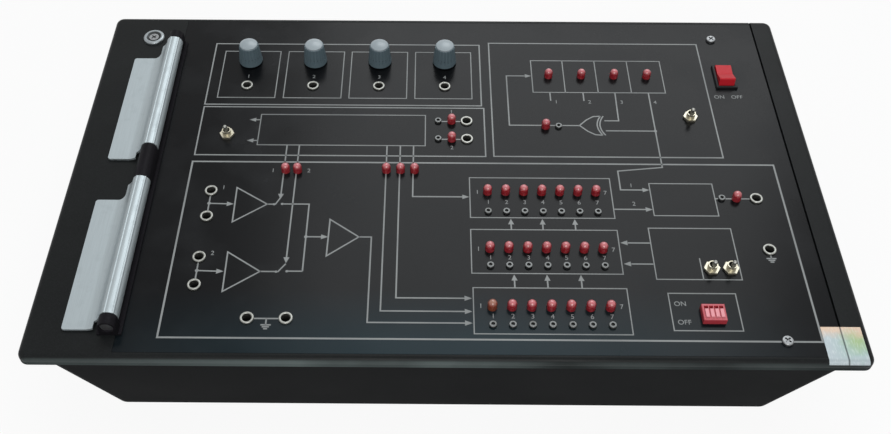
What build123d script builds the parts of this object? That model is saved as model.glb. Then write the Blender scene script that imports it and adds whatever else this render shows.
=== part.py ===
from build123d import *
import os
from math import atan2, cos, degrees, hypot, radians, sin, tan

# A bench training module for communication experiments: a shallow moulded case whose lid has been
# lifted off, with a printed panel of sockets, lamps, small switches and four knobs, and a pair of
# hinge leaves along its left side. Inside are the circuit board, the power supply and the mains inlet.
# Millimetres. Origin at the middle of the footprint, on the surface the feet stand on.
# +X is the right of the panel, +Y its back and +Z is up.

# An inset is a distance from the nearest edge of the case, seen from above.

# Case
case_width = 422.0
case_depth = 256.5
case_corner = 5.0
foot_height = 3.0
foot_radius = 7.0
foot_margin = 16.0
tub_height = 72.0
tub_wall = 3.0
tub_floor = 3.0
tub_corner = 8.0
tub_inner_corner = 2.0
foot_round = 0.8
wall_draft = 13.7
side_overhang = 9.2
end_overhang = 2.0
flange_thickness = 2.5
frame_thickness = 3.5
frame_edge_round = 3.0
boss_radius = 4.5

# Panel and the frame around it
panel_thickness = 2.0
panel_clearance = 0.15
panel_end_margin = 4.0
strip_width = 13.0
groove_width = 1.2
groove_depth = 1.6
window_left_inset = 53.0
window_right_inset = 21.0
window_front_inset = 16.25
window_back_inset = 25.25
hole_clearance = 0.1

# Screws that hold the panel and the frame to the case
screw_radius = 1.5
screw_head_radius = 2.9
screw_head_height = 1.7
screw_slot = 0.9
screw_depth = 12.0
screw_head_round = 0.7
screw_cross_reach = 1.8
screw_cross_depth = 0.9
screw_tip_gap = 1.0
panel_screw_inset = 41.6
panel_screw_back_inset = 19.15
panel_screw_front_inset = 12.65
corner_screw_inset = 27.6
corner_screw_back_inset = 20.55
corner_head_radius = 3.0
corner_head_height = 1.2
corner_head_neck = 2.1
washer_radius = 6.6
washer_height = 1.9
washer_round = 1.3
washer_seat = 0.9
washer_mouth = 4.7
washer_fit = 0.1
flange_screw_inset = 4.6
flange_screw_pitch = 90.0
flange_screw_length = 5.0
flange_screw_head = 2.6

# Hinge along the left side
hinge_inset = 43.7
hinge_lift = 6.2
hinge_rod_radius = 3.5
hinge_fit = 0.08
leaf_thickness = 1.2
leaf_edge_inset = 19.5
leaf_bend_inset = 31.0
leaf_lift = 0.3
leaf_plate_length = 84.5
leaf_wrap_length = 90.2
leaf_wrap_offset = 4.1
leaf_rear_start = 2.7
leaf_pitch = 115.0
leaf_wrap_end = 40.0
leaf_rib_radius = 0.9
leaf_rib_angles = (112.0, 52.0)
leaf_corner = 1.5
leaf_shoulder = 4.5
leaf_shoulder_round = 3.5
cut_margin = 1.0
bar_half_width = 6.2
bar_strip = 1.0
bar_panel_lap = 3.0
bar_gap = 0.4
bar_end_post = 6.0
bar_post_radius = 4.6
bar_pin_radius = 1.5
bar_pin_length = 2.5
rod_end_gap = 1.0

# Circuit board under the panel
board_gap = 9.0
board_thickness = 1.6
board_left_inset = 61.0
board_right_inset = 26.0
board_front_inset = 17.95
board_back_inset = 26.75
board_notch_side = 9.0
board_notch_front = 12.5
pillar_flats = 5.5
board_screw_radius = 1.25
board_screw_head = 2.5
board_screw_head_height = 1.6
board_screw_length = 6.0
pillar_left_inset = 68.0
pillar_right_inset = 31.0
pillar_middle_xs = (-66.0, 10.0, 108.0)
pillar_front_inset = 34.25
pillar_back_inset = 31.25

# Logic packages under the circuit board
chip_length = 19.2
chip_width = 6.4
chip_height = 3.4
chip_gap = 1.0
chip_leg_count = 8
chip_leg_pitch = 2.54
chip_leg_width = 0.6
chip_leg_thickness = 0.4
chip_row_spacing = 7.2
chip_shoulder = 1.8
chip_columns = 7
chip_rows = 4
chip_left_margin = 40.0
chip_back_margin = 35.5
chip_step = (38.0, 44.0)
chip_part_columns = 4

# Potentiometers and their knobs
pot_first_inset = 91.5
pot_pitch = 40.0
pot_count = 4
pot_back_inset = 41.25
pot_radius = 8.0
pot_body_height = 7.4
pot_leg_radius = 0.5
pot_leg_pitch = 5.0
pot_leg_offset = 4.0
bushing_radius = 3.5
bushing_height = 5.5
nut_flats = 10.0
nut_height = 2.0
shaft_radius = 3.0
shaft_fit = 0.05
shaft_top = 11.5
shaft_depth = 5.0
shaft_end_gap = 0.5
knob_base_radius = 7.3
knob_top_radius = 5.9
knob_gap = 0.5
knob_height = 12.4
knob_base_round = 0.7
knob_recess_radius = 6.3
knob_recess_depth = 5.4
knob_flutes = 20
knob_flute_radius = 0.45
knob_skirt = 3.2
cap_radius = 5.3
cap_seat = 1.0
cap_rise = 1.5
cap_band = 1.0

# Ring sockets
socket_radius = 3.6
socket_collar = 1.2
socket_round = 0.5
socket_tube_radius = 2.9
socket_bore = 2.35
socket_bore_depth = 9.0
socket_floor = 1.0
socket_tail_radius = 1.0
socket_nut_flats = 7.0
socket_nut_height = 1.6
pot_socket_offset = 22.1
clock_socket_x = 13.2
clock_rows = (35.6, 21.1)
input_socket_inset = 81.4
input_socket_ys = (-19.7, -38.0, -65.7, -83.7)
output_socket_inset = 38.8
output_row = -22.8
ground_socket_y = -58.4
ground_pair_insets = (111.0, 130.6)
ground_pair_front_inset = 24.25

# Lamps and test pins
lamp_radius = 2.5
lamp_flange_radius = 2.9
lamp_flange_height = 1.0
lamp_body_height = 8.6
lamp_leg = 0.5
lamp_leg_pitch = 2.54
row_lamp_count = 7
row_lamp_x = 23.8
row_lamp_pitch = 10.0
row_lamp_middle_ys = (-19.2, -59.0)
row_pin_middle_ys = (-33.3, -70.0)
row_lamp_front_inset = 32.05
row_pin_front_inset = 21.25
register_lamp_count = 4
register_lamp_x = 64.1
register_lamp_pitch = 20.0
register_lamp_back_inset = 53.25
clock_lamp_x = 4.4
sync_lamp = (59.6, 31.9)
control_lamp_xs = (-89.6, -82.9)
control_lamp_y = -4.1
timing_lamp_xs = (-32.8, -24.8, -16.9)
timing_lamp_y = -3.6
output_lamp_inset = 49.8
pin_radius = 0.65
pin_ring_radius = 2.0
pin_ring_height = 1.5
pin_ring_bore = 1.0
pin_ring_floor = 0.3
pin_ring_round = 0.35
clock_pin_x = -3.5
sync_pin = (67.2, 31.9)
output_pin_inset = 57.9

# Small toggle switches
left_toggle_inset = 84.7
left_toggle_y = 23.6
right_toggles = ((65.4, 40.0), (71.6, -71.2), (61.6, -71.2))
toggle_body_width = 7.0
toggle_body_length = 12.0
toggle_body_height = 8.0
toggle_leg = 0.8
toggle_leg_pitch = 4.7
toggle_bushing_radius = 2.5
toggle_bushing_height = 4.2
toggle_nut_flats = 7.4
toggle_nut_height = 1.5
toggle_bore = 1.95
toggle_ball_radius = 1.88
toggle_ball_gap = 0.1
toggle_pivot_height = 1.4
toggle_tilt = 12.5
lever_length = 7.4
lever_root_radius = 0.9
lever_tip_radius = 1.2

# Rocker power switch
rocker_inset = 39.2
rocker_back_inset = 53.95
bezel_width = 12.8
bezel_length = 19.6
bezel_height = 1.8
bezel_round = 0.7
rocker_width = 9.4
rocker_length = 15.4
rocker_side_gap = 0.25
rocker_end_gap = 0.9
rocker_body_width = 11.0
rocker_body_length = 17.8
rocker_body_depth = 14.0
rocker_cavity_depth = 9.5
rocker_pivot_depth = 1.5
rocker_pivot_radius = 0.9
rocker_pivot_fit = 0.06
rocker_pin_reach = 0.8
rocker_pin_gap = 0.2
rocker_tilt = 9.0
rocker_rise = 3.0
rocker_valley = 1.3
rocker_belly = 5.2
rocker_skirt = 2.2
rocker_round = 0.8
blade_width = 4.8
blade_thickness = 0.8
blade_length = 7.0
blade_pitch = 8.0

# Four-way slide switch for the faults
dip_inset = 75.9
dip_front_inset = 27.85
dip_count = 4
dip_pitch = 2.54
dip_width = 11.8
dip_length = 9.9
dip_proud = 3.6
dip_body_height = 5.6
dip_slot_width = 2.1
dip_slot_length = 7.4
dip_slot_depth = 2.4
dip_lever_width = 1.9
dip_lever_length = 5.0
dip_lever_proud = 0.9
dip_clearance = 0.1
dip_edge = 0.3
dip_lever_round = 0.25
dip_end_gap = 0.2
dip_socket_wall = 0.6

# Power supply on the floor of the case
supply_inset = 115.0
supply_back_inset = 86.25
supply_width = 110.0
supply_depth = 70.0
supply_standoff = 6.0
supply_hole_margin = 5.0
supply_pillar_radius = 3.5
supply_screw_head = 2.8
transformer_size = (30.0, 26.0, 20.0)
bobbin_size = (20.0, 32.0, 15.0)
bobbin_flange = 2.0
core_leg_width = 8.0
bobbin_pin_width = 16.0
bobbin_pin_thickness = 1.0
transformer_y = -4.0
sink_length = 44.0
sink_height = 24.0
sink_base = 2.0
sink_fin_depth = 9.0
sink_fin_count = 6
sink_shift = 30.0
sink_margin = 4.0
sink_foot_gap = 3.0
capacitor_list = (
    (-30.0, 14.0, 8.0, 26.0),
    (34.0, 20.0, 5.0, 18.0),
    (34.0, 6.0, 5.0, 18.0),
    (34.0, -8.0, 4.0, 14.0),
)
terminal_width = 5.0
terminal_depth = 9.0
terminal_height = 10.0
terminal_bore = 1.7
terminal_bore_depth = 3.0
mains_terminal_offset = (16.0, 0.5)
dc_terminal_offset = (32.0, 0.5)
capacitor_round = 0.8

# Mains inlet in the sloping back wall
inlet_inset = 91.0
inlet_height = 40.0
inlet_flange_width = 50.0
inlet_flange_height = 24.0
inlet_flange_thickness = 3.0
inlet_flange_corner = 4.0
inlet_body_width = 28.0
inlet_body_height = 20.0
inlet_body_depth = 16.0
inlet_body_corner = 2.0
inlet_clearance = 0.15
inlet_cavity_width = 24.2
inlet_cavity_height = 16.0
inlet_cavity_depth = 15.0
inlet_cavity_corner = 3.0
inlet_screw_spacing = 40.0
inlet_blade = (2.0, 4.0)
inlet_blade_pitch = 14.0
inlet_earth_lift = 4.0
inlet_blade_reach = 13.0
inlet_tab_length = 8.0
inlet_screw_reach = 6.0
inlet_nut_flats = 5.5
inlet_nut_height = 2.2

# Leads
lead_radius = 1.1
dc_lead_radius = 0.8
lead_arc_share = 0.45

# Seal label on the front right corner
label_width = 20.0
label_length = 21.5
label_inset = 13.4
label_wrap = 60.0
label_thickness = 0.15

# Edges, heights and places that follow from the sizes above
half_width = case_width / 2
half_depth = case_depth / 2
flange_z = foot_height + tub_height
case_top = flange_z + flange_thickness + frame_thickness
panel_under = case_top - panel_thickness
board_top = panel_under - board_gap
board_under = board_top - board_thickness
floor_top = foot_height + tub_floor
panel_right = half_width - strip_width - groove_width
panel_half_depth = half_depth - panel_end_margin
window_left = half_width - window_left_inset
window_right = half_width - window_right_inset
window_front = half_depth - window_front_inset
window_back = half_depth - window_back_inset
panel_screw_x = half_width - panel_screw_inset
corner_screw_x = half_width - corner_screw_inset
corner_screw_y = half_depth - corner_screw_back_inset
hinge_x = half_width - hinge_inset
leaf_left = half_width - leaf_edge_inset
leaf_bend_start = half_width - leaf_bend_inset
bar_right = -hinge_x + bar_half_width
panel_left = bar_right - bar_panel_lap
slope = tan(radians(wall_draft))
hinge_z = case_top + hinge_lift
wrap_inner = hinge_rod_radius + hinge_fit
wrap_outer = wrap_inner + leaf_thickness
board_left = half_width - board_left_inset
board_right = half_width - board_right_inset
board_front = half_depth - board_front_inset
board_back = half_depth - board_back_inset
pot_y = half_depth - pot_back_inset
rocker_x = half_width - rocker_inset
rocker_y = half_depth - rocker_back_inset
dip_x = half_width - dip_inset
dip_y = dip_front_inset - half_depth
supply_x = half_width - supply_inset
supply_y = half_depth - supply_back_inset
inlet_x = half_width - inlet_inset
label_x = half_width - label_inset
label_back = half_depth - label_length
row_lamp_ys = (*row_lamp_middle_ys, row_lamp_front_inset - half_depth)
row_pin_ys = (*row_pin_middle_ys, row_pin_front_inset - half_depth)


def box(x0, x1, y0, y1, z0, z1):
    """A block between two corners."""
    solid = Box(x1 - x0, y1 - y0, z1 - z0, align=(Align.MIN, Align.MIN, Align.MIN))
    return Pos(x0, y0, z0) * solid


def rod(x, y, z0, z1, radius):
    """An upright cylinder from z0 to z1."""
    solid = Cylinder(radius, z1 - z0, align=(Align.CENTER, Align.CENTER, Align.MIN))
    return Pos(x, y, z0) * solid


def hexagon(x, y, z0, z1, flats):
    """An upright hexagonal bar, measured across its flats."""
    face = RegularPolygon(flats / 2, 6, major_radius=False)
    return Pos(x, y, z0) * extrude(face, z1 - z0)


def joined(solids):
    """Several separate solids kept in one node."""
    return Compound(children=list(solids))


def slab(width, depth, corner, z0, z1):
    """A plate with rounded corners, centred on the case."""
    return Pos(0, 0, z0) * extrude(RectangleRounded(width, depth, corner), z1 - z0)


def frustum(inset, z0, z1):
    """The sloping body of the case, inset from its outer faces, from z0 up to z1."""
    faces = []
    for z in (z0, z1):
        drop = (flange_z - z) * slope + inset
        width = case_width - 2 * (side_overhang + drop)
        depth = case_depth - 2 * (end_overhang + drop)
        faces.append(Pos(0, 0, z) * RectangleRounded(width, depth, max(tub_corner - inset, tub_inner_corner)))
    return loft(faces)


def foot_places():
    """The four feet, set in from the corners of the floor."""
    drop = tub_height * slope + foot_margin
    x = half_width - side_overhang - drop
    y = half_depth - end_overhang - drop
    return [(sx * x, sy * y) for sx in (-1, 1) for sy in (-1, 1)]


def flange_screw_places():
    """Screws up through the flange, under its left and right overhangs."""
    x = half_width - flange_screw_inset
    return [(sx * x, n * flange_screw_pitch) for sx in (-1, 1) for n in (-1, 0, 1)]


def panel_screw_places():
    back = half_depth - panel_screw_back_inset
    front = half_depth - panel_screw_front_inset
    return [(panel_screw_x, back), (panel_screw_x, -front)]


def pot_xs():
    return [pot_first_inset - half_width + n * pot_pitch for n in range(pot_count)]


def socket_places():
    places = [(x, pot_y - pot_socket_offset) for x in pot_xs()]
    places += [(clock_socket_x, y) for y in clock_rows]
    places += [(input_socket_inset - half_width, y) for y in input_socket_ys]
    places += [(half_width - output_socket_inset, y) for y in (output_row, ground_socket_y)]
    places += [(inset - half_width, ground_pair_front_inset - half_depth) for inset in ground_pair_insets]
    return places


def toggle_places():
    places = [(left_toggle_inset - half_width, left_toggle_y)]
    return places + [(half_width - inset, y) for inset, y in right_toggles]


def row_xs():
    return [row_lamp_x + n * row_lamp_pitch for n in range(row_lamp_count)]


def red_lamp_places():
    register_xs = [register_lamp_x + n * register_lamp_pitch for n in range(register_lamp_count)]
    places = [(x, half_depth - register_lamp_back_inset) for x in register_xs]
    places += [(clock_lamp_x, y) for y in clock_rows]
    places += [sync_lamp, (half_width - output_lamp_inset, output_row)]
    places += [(x, control_lamp_y) for x in control_lamp_xs]
    places += [(x, timing_lamp_y) for x in timing_lamp_xs]
    for y in row_lamp_ys[:2]:
        places += [(x, y) for x in row_xs()]
    places += [(x, row_lamp_ys[2]) for x in row_xs()[1:]]
    return places


def amber_lamp_place():
    return (row_lamp_x, row_lamp_ys[2])


def pin_places():
    places = [(clock_pin_x, y) for y in clock_rows]
    places += [sync_pin, (half_width - output_pin_inset, output_row)]
    for y in row_pin_ys:
        places += [(x, y) for x in row_xs()]
    return places


def pillar_places():
    """Two rows of pillars, without the one at the back right, where the power switch is."""
    xs = (pillar_left_inset - half_width, *pillar_middle_xs, half_width - pillar_right_inset)
    ys = (pillar_front_inset - half_depth, half_depth - pillar_back_inset)
    return [(x, y) for x in xs for y in ys][:-1]


def supply_hole_places():
    x = supply_width / 2 - supply_hole_margin
    y = supply_depth / 2 - supply_hole_margin
    return [(supply_x + sx * x, supply_y + sy * y) for sx in (-1, 1) for sy in (-1, 1)]


def inlet_plane():
    """A plane on the outside of the back wall: x to the left as seen from behind, y up the slope."""
    drop = (flange_z - inlet_height) * slope
    y = half_depth - end_overhang - drop
    normal = (0, cos(radians(wall_draft)), -sin(radians(wall_draft)))
    return Plane(origin=(inlet_x, y, inlet_height), x_dir=(-1, 0, 0), z_dir=normal)


def on_inlet(solid):
    return inlet_plane() * solid


def corner_boss(x, y):
    """A post up the inside of the case for a screw from above, with its pilot hole."""
    post = rod(x, y, foot_height, flange_z, boss_radius) & frustum(0, foot_height, flange_z)
    return post + rod(x, y, flange_z, flange_z + flange_thickness, boss_radius)


def make_tub():
    outer = frustum(0, foot_height, flange_z)
    inner = frustum(tub_wall, floor_top, flange_z)
    flange = slab(case_width, case_depth, case_corner, flange_z, flange_z + flange_thickness)
    mouth_width = case_width - 2 * (side_overhang + tub_wall)
    mouth_depth = case_depth - 2 * (end_overhang + tub_wall)
    mouth = slab(mouth_width, mouth_depth, tub_corner - tub_wall, flange_z, flange_z + flange_thickness)
    tub = outer - inner + (flange - mouth)
    screws = panel_screw_places() + [(-corner_screw_x, corner_screw_y)]
    for x, y in screws:
        tub += corner_boss(x, y)
    pilot_z = case_top - screw_depth
    for x, y in screws:
        tub -= rod(x, y, pilot_z, case_top, screw_radius)
    for x, y in flange_screw_places():
        tub -= rod(x, y, flange_z, case_top, screw_radius + hole_clearance)
    for x, y in supply_hole_places():
        tub += rod(x, y, foot_height, floor_top + supply_standoff, supply_pillar_radius)
        tub -= rod(x, y, floor_top, floor_top + supply_standoff, screw_radius)
    opening_width = inlet_body_width + 2 * inlet_clearance
    opening_height = inlet_body_height + 2 * inlet_clearance
    tub -= on_inlet(Box(opening_width, opening_height, 2 * inlet_body_depth))
    for sx in (-1, 1):
        hole = Cylinder(screw_radius + hole_clearance, inlet_body_depth)
        tub -= on_inlet(Pos(sx * inlet_screw_spacing / 2, 0, 0) * hole)
    return tub


def make_frame():
    frame = slab(case_width, case_depth, case_corner, flange_z + flange_thickness, case_top)
    frame = fillet(frame.edges().group_by(Axis.Z)[-1], frame_edge_round)
    y = panel_half_depth + panel_clearance
    pocket_right = panel_right + groove_width
    frame -= box(panel_left - panel_clearance, pocket_right, -y, y, panel_under, case_top)
    groove = box(panel_right, pocket_right, -half_depth, half_depth, case_top - groove_depth, case_top)
    frame -= groove
    window = box(-window_left, window_right, -window_front, window_back, flange_z, case_top)
    frame -= window
    for x, y in panel_screw_places() + [(-corner_screw_x, corner_screw_y)]:
        frame -= rod(x, y, flange_z, case_top, screw_radius + hole_clearance)
    for x, y in flange_screw_places():
        top = flange_z + flange_screw_length
        frame -= rod(x, y, flange_z, top, screw_radius)
    for y in bar_pin_ys():
        frame -= rod(-hinge_x, y, case_top - bar_pin_length, case_top, bar_pin_radius)
    return frame


def panel_holes():
    low = panel_under
    high = case_top
    holes = [rod(x, y, low, high, socket_tube_radius + hole_clearance) for x, y in socket_places()]
    lamps = red_lamp_places() + [amber_lamp_place()]
    holes += [rod(x, y, low, high, lamp_radius + hole_clearance) for x, y in lamps]
    holes += [rod(x, y, low, high, pin_radius + hole_clearance) for x, y in pin_places()]
    holes += [rod(x, pot_y, low, high, bushing_radius + hole_clearance) for x in pot_xs()]
    holes += [rod(x, y, low, high, toggle_bushing_radius + hole_clearance) for x, y in toggle_places()]
    holes += [rod(x, y, low, high, screw_radius + hole_clearance) for x, y in panel_screw_places()]
    half_w = rocker_body_width / 2 + hole_clearance
    half_l = rocker_body_length / 2 + hole_clearance
    holes.append(box(rocker_x - half_w, rocker_x + half_w, rocker_y - half_l, rocker_y + half_l, low, high))
    half_w = dip_width / 2 + dip_clearance
    half_l = dip_length / 2 + dip_clearance
    holes.append(box(dip_x - half_w, dip_x + half_w, dip_y - half_l, dip_y + half_l, low, high))
    return holes


def make_panel():
    panel = box(panel_left, panel_right, -panel_half_depth, panel_half_depth, panel_under, case_top)
    return panel - panel_holes()


def leaf_ranges(start):
    """Where the flat plate and the rolled part of one leaf lie along Y."""
    plate = (start, start + leaf_plate_length)
    wrap = (start + leaf_wrap_offset, start + leaf_wrap_offset + leaf_wrap_length)
    return plate, wrap


def leaf_starts():
    return {"rear": leaf_rear_start, "front": leaf_rear_start - leaf_pitch}


def bar_posts():
    """Y ranges of the knuckles: behind, between and in front of the two leaves."""
    rear_wrap = leaf_ranges(leaf_starts()["rear"])[1]
    front_wrap = leaf_ranges(leaf_starts()["front"])[1]
    return [
        (rear_wrap[1] + bar_gap, rear_wrap[1] + bar_gap + bar_end_post),
        (front_wrap[1] + bar_gap, rear_wrap[0] - bar_gap),
        (front_wrap[0] - bar_gap - bar_end_post, front_wrap[0] - bar_gap),
    ]


def bar_pin_ys():
    return [(low + high) / 2 for low, high in bar_posts()]


def make_hinge_bar():
    posts = bar_posts()
    front = posts[-1][0]
    back = posts[0][1]
    strip = box(-hinge_x - bar_half_width, bar_right, front, back, case_top, case_top + bar_strip)
    for low, high in posts:
        outline = Pos(0, hinge_lift / 2) * Rectangle(2 * bar_post_radius, hinge_lift)
        outline += Pos(0, hinge_lift) * Circle(bar_post_radius)
        plane = Plane(origin=(-hinge_x, high, case_top), x_dir=(1, 0, 0), z_dir=(0, -1, 0))
        strip += plane * extrude(outline, high - low)
    strip -= along_hinge(hinge_rod_radius, front, back)
    for y in bar_pin_ys():
        strip += rod(-hinge_x, y, case_top - bar_pin_length, case_top, bar_pin_radius)
    return strip


def along_hinge(radius, low, high):
    plane = Plane(origin=(-hinge_x, high, hinge_z), x_dir=(1, 0, 0), z_dir=(0, -1, 0))
    return plane * Cylinder(radius, high - low, align=(Align.CENTER, Align.CENTER, Align.MIN))


def make_hinge_rod():
    posts = bar_posts()
    return along_hinge(hinge_rod_radius, posts[-1][0] + rod_end_gap, posts[0][1] - rod_end_gap)


def leaf_profile():
    """Section of a leaf about the hinge axis: plate, hollow sweep, rolled eye and two ribs."""
    plate_top = leaf_lift + leaf_thickness - hinge_lift
    plate_under = leaf_lift - hinge_lift
    run = leaf_bend_start - hinge_x
    rise = -plate_top
    sweep = (run ** 2 + rise ** 2 - wrap_outer ** 2) / (2 * (rise + wrap_outer))
    centre = (-run, plate_top + sweep)
    length = hypot(*centre)
    along = (-centre[0] / length, -centre[1] / length)
    left = hinge_x - leaf_left
    start_angle = degrees(atan2(centre[1] + sweep * along[1], centre[0] + sweep * along[0]))
    turn = start_angle + leaf_wrap_end
    bend = degrees(atan2(along[1], along[0])) + 90
    outline = [
        Line((left, plate_under), (left, plate_top)),
        Line((left, plate_top), (-run, plate_top)),
        CenterArc(centre, sweep, -90, bend),
        CenterArc((0, 0), wrap_outer, start_angle, -turn),
        Line(
            (wrap_outer * cos(radians(leaf_wrap_end)), -wrap_outer * sin(radians(leaf_wrap_end))),
            (wrap_inner * cos(radians(leaf_wrap_end)), -wrap_inner * sin(radians(leaf_wrap_end))),
        ),
        CenterArc((0, 0), wrap_inner, start_angle, -turn),
        CenterArc(centre, sweep + leaf_thickness, -90, bend),
        Line((-run, plate_under), (left, plate_under)),
    ]
    face = make_face(outline)
    middle = (wrap_inner + wrap_outer) / 2
    for angle in leaf_rib_angles:
        face += Pos(middle * cos(radians(angle)), middle * sin(radians(angle))) * Circle(leaf_rib_radius)
    return face - Circle(wrap_inner)


def make_leaf(start):
    plate, wrap = leaf_ranges(start)
    plane = Plane(origin=(-hinge_x, wrap[1], hinge_z), x_dir=(1, 0, 0), z_dir=(0, -1, 0))
    leaf = plane * extrude(leaf_profile(), wrap[1] - plate[0])
    shoulder_x = -leaf_bend_start + leaf_shoulder
    low = case_top
    high = hinge_z + 2 * wrap_outer
    behind = box(-leaf_left - cut_margin, shoulder_x, plate[1], wrap[1] + cut_margin, low, high)
    inner_edge = behind.edges().filter_by(Axis.Z).sort_by(Axis.Y)[:2].sort_by(Axis.X)[-1]
    leaf -= fillet(inner_edge, leaf_shoulder_round)
    leaf -= box(shoulder_x, 0, plate[0] - cut_margin, wrap[0], low, high)
    corners = leaf.edges().filter_by(Axis.Z).filter_by(lambda edge: edge.center().X < leaf_corner - leaf_left)
    return fillet(corners, leaf_corner)


def cross_recess(head, x, y, top):
    """Cuts the cross for the screwdriver into a head whose top is at the given height."""
    for angle in (45, 135):
        bar = Box(2 * screw_cross_reach, screw_slot, 2 * screw_cross_depth)
        head -= Pos(x, y, top) * (Rot(0, 0, angle) * bar)
    return head


def screw_down(x, y, seat, length, head_radius=screw_head_radius):
    """A pan-head screw driven down, its head resting at seat."""
    head = rod(x, y, seat, seat + screw_head_height, head_radius)
    head = fillet(head.edges().sort_by(Axis.Z)[-1], screw_head_round)
    shank = rod(x, y, seat - length, seat, screw_radius)
    return cross_recess(head, x, y, seat + screw_head_height) + shank


def screw_up(x, y, seat, length, radius, head_radius, head_height):
    """A screw driven up, its head hanging below seat."""
    head = rod(x, y, seat - head_height, seat, head_radius)
    head = fillet(head.edges().sort_by(Axis.Z)[0], screw_head_round)
    slot = Box(2 * head_radius, screw_slot, 2 * screw_cross_depth)
    head -= Pos(x, y, seat - head_height) * slot
    return head + rod(x, y, seat, seat + length, radius)


def make_panel_screws():
    length = screw_depth - screw_tip_gap
    return joined(screw_down(x, y, case_top, length) for x, y in panel_screw_places())


def make_flange_screws():
    """Screws driven up through the flange into the frame."""
    length = flange_screw_length - screw_tip_gap
    return joined(
        screw_up(x, y, flange_z, length, screw_radius, flange_screw_head, screw_head_height)
        for x, y in flange_screw_places()
    )


def at_corner_screw(solid, z):
    """Places a solid on the corner screw's axis, its lower face at z."""
    return Pos(-corner_screw_x, corner_screw_y, z) * solid


def make_washer():
    """The cup washer of the corner screw: a rounded rim that slopes in to the seat of the head."""
    on_base = (Align.CENTER, Align.CENTER, Align.MIN)
    washer = at_corner_screw(Cylinder(washer_radius, washer_height, align=on_base), case_top)
    washer = fillet(washer.edges().sort_by(Axis.Z)[-1], washer_round)
    neck = corner_head_neck + washer_fit
    seat = corner_head_radius + washer_fit
    washer -= at_corner_screw(Cone(neck, seat, washer_seat, align=on_base), case_top)
    slope = Cone(seat, washer_mouth, washer_height - washer_seat, align=on_base)
    return washer - at_corner_screw(slope, case_top + washer_seat)


def make_corner_screw():
    """A countersunk screw whose cross recess shows in the middle of the cup washer."""
    on_base = (Align.CENTER, Align.CENTER, Align.MIN)
    cone = Cone(corner_head_neck, corner_head_radius, washer_seat, align=on_base)
    crown = Cylinder(corner_head_radius, corner_head_height - washer_seat, align=on_base)
    screw = at_corner_screw(cone, case_top) + at_corner_screw(crown, case_top + washer_seat)
    screw = cross_recess(screw, -corner_screw_x, corner_screw_y, case_top + corner_head_height)
    low = case_top + corner_head_height - screw_depth
    return screw + rod(-corner_screw_x, corner_screw_y, low, case_top, screw_radius)


def make_feet():
    feet = []
    for x, y in foot_places():
        foot = rod(x, y, 0, foot_height, foot_radius)
        feet.append(fillet(foot.edges().sort_by(Axis.Z)[0], foot_round))
    return joined(feet)


def make_board():
    board = box(-board_left, board_right, -board_front, board_back, board_under, board_top)
    left = rocker_x - board_notch_side
    board -= box(left, board_right, rocker_y - board_notch_front, board_back, board_under, board_top)
    hole = board_screw_radius + hole_clearance
    return board - [rod(x, y, board_under, board_top, hole) for x, y in pillar_places()]


def make_pillars():
    pillars = []
    for x, y in pillar_places():
        pillar = hexagon(x, y, board_top, panel_under, pillar_flats)
        pillars.append(pillar - rod(x, y, board_top, board_top + board_screw_length, board_screw_radius))
    return joined(pillars)


def make_board_screws():
    length = board_thickness + board_screw_length - screw_tip_gap
    return joined(
        screw_up(x, y, board_under, length, board_screw_radius, board_screw_head, board_screw_head_height)
        for x, y in pillar_places()
    )


def chip(x, y):
    """One dual in-line package hanging under the board, its legs up against it."""
    body_top = board_under - chip_gap
    half_l = chip_length / 2
    half_w = chip_width / 2
    body = box(x - half_l, x + half_l, y - half_w, y + half_w, body_top - chip_height, body_top)
    bend = body_top - chip_shoulder
    half = chip_leg_width / 2
    first = x - (chip_leg_count - 1) * chip_leg_pitch / 2
    for n in range(chip_leg_count):
        leg_x = first + n * chip_leg_pitch
        for side in (-1, 1):
            leg_y = y + side * chip_row_spacing / 2
            near, far = sorted((y, leg_y))
            outer = leg_y + side * chip_leg_thickness
            low, high = sorted((leg_y, outer))
            body += box(leg_x - half, leg_x + half, near, far, bend, bend + chip_leg_thickness)
            body += box(leg_x - half, leg_x + half, low, high, bend, board_under)
    return body


def make_chips():
    """Rows of packages; the potentiometers and the power switch take the right of the two back rows."""
    first_x = chip_left_margin - board_left
    first_y = board_back - chip_back_margin
    places = []
    for column in range(chip_columns):
        for row in range(chip_rows):
            if column < chip_part_columns or row > 1:
                places.append((first_x + chip_step[0] * column, first_y - chip_step[1] * row))
    return joined(chip(x, y) for x, y in places)


def make_pot_body(x):
    body = rod(x, pot_y, panel_under - pot_body_height, panel_under, pot_radius)
    body += rod(x, pot_y, panel_under, case_top + bushing_height, bushing_radius)
    bore_floor = case_top - shaft_depth - shaft_end_gap
    body -= rod(x, pot_y, bore_floor, case_top + bushing_height, shaft_radius + shaft_fit)
    for n in (-1, 0, 1):
        leg_x = x + n * pot_leg_pitch
        body += rod(leg_x, pot_y - pot_leg_offset, board_top, panel_under - pot_body_height, pot_leg_radius)
    return body


def nut_on(x, y, low, high, flats, hole_radius):
    return hexagon(x, y, low, high, flats) - rod(x, y, low, high, hole_radius)


def make_bushing_nuts():
    """The nuts on top of the panel, of the potentiometers and of the toggle switches."""
    high = case_top + nut_height
    nuts = [nut_on(x, pot_y, case_top, high, nut_flats, bushing_radius) for x in pot_xs()]
    high = case_top + toggle_nut_height
    for x, y in toggle_places():
        nuts.append(nut_on(x, y, case_top, high, toggle_nut_flats, toggle_bushing_radius))
    return joined(nuts)


def make_shaft(x):
    return rod(x, pot_y, case_top - shaft_depth, case_top + shaft_top, shaft_radius)


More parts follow.
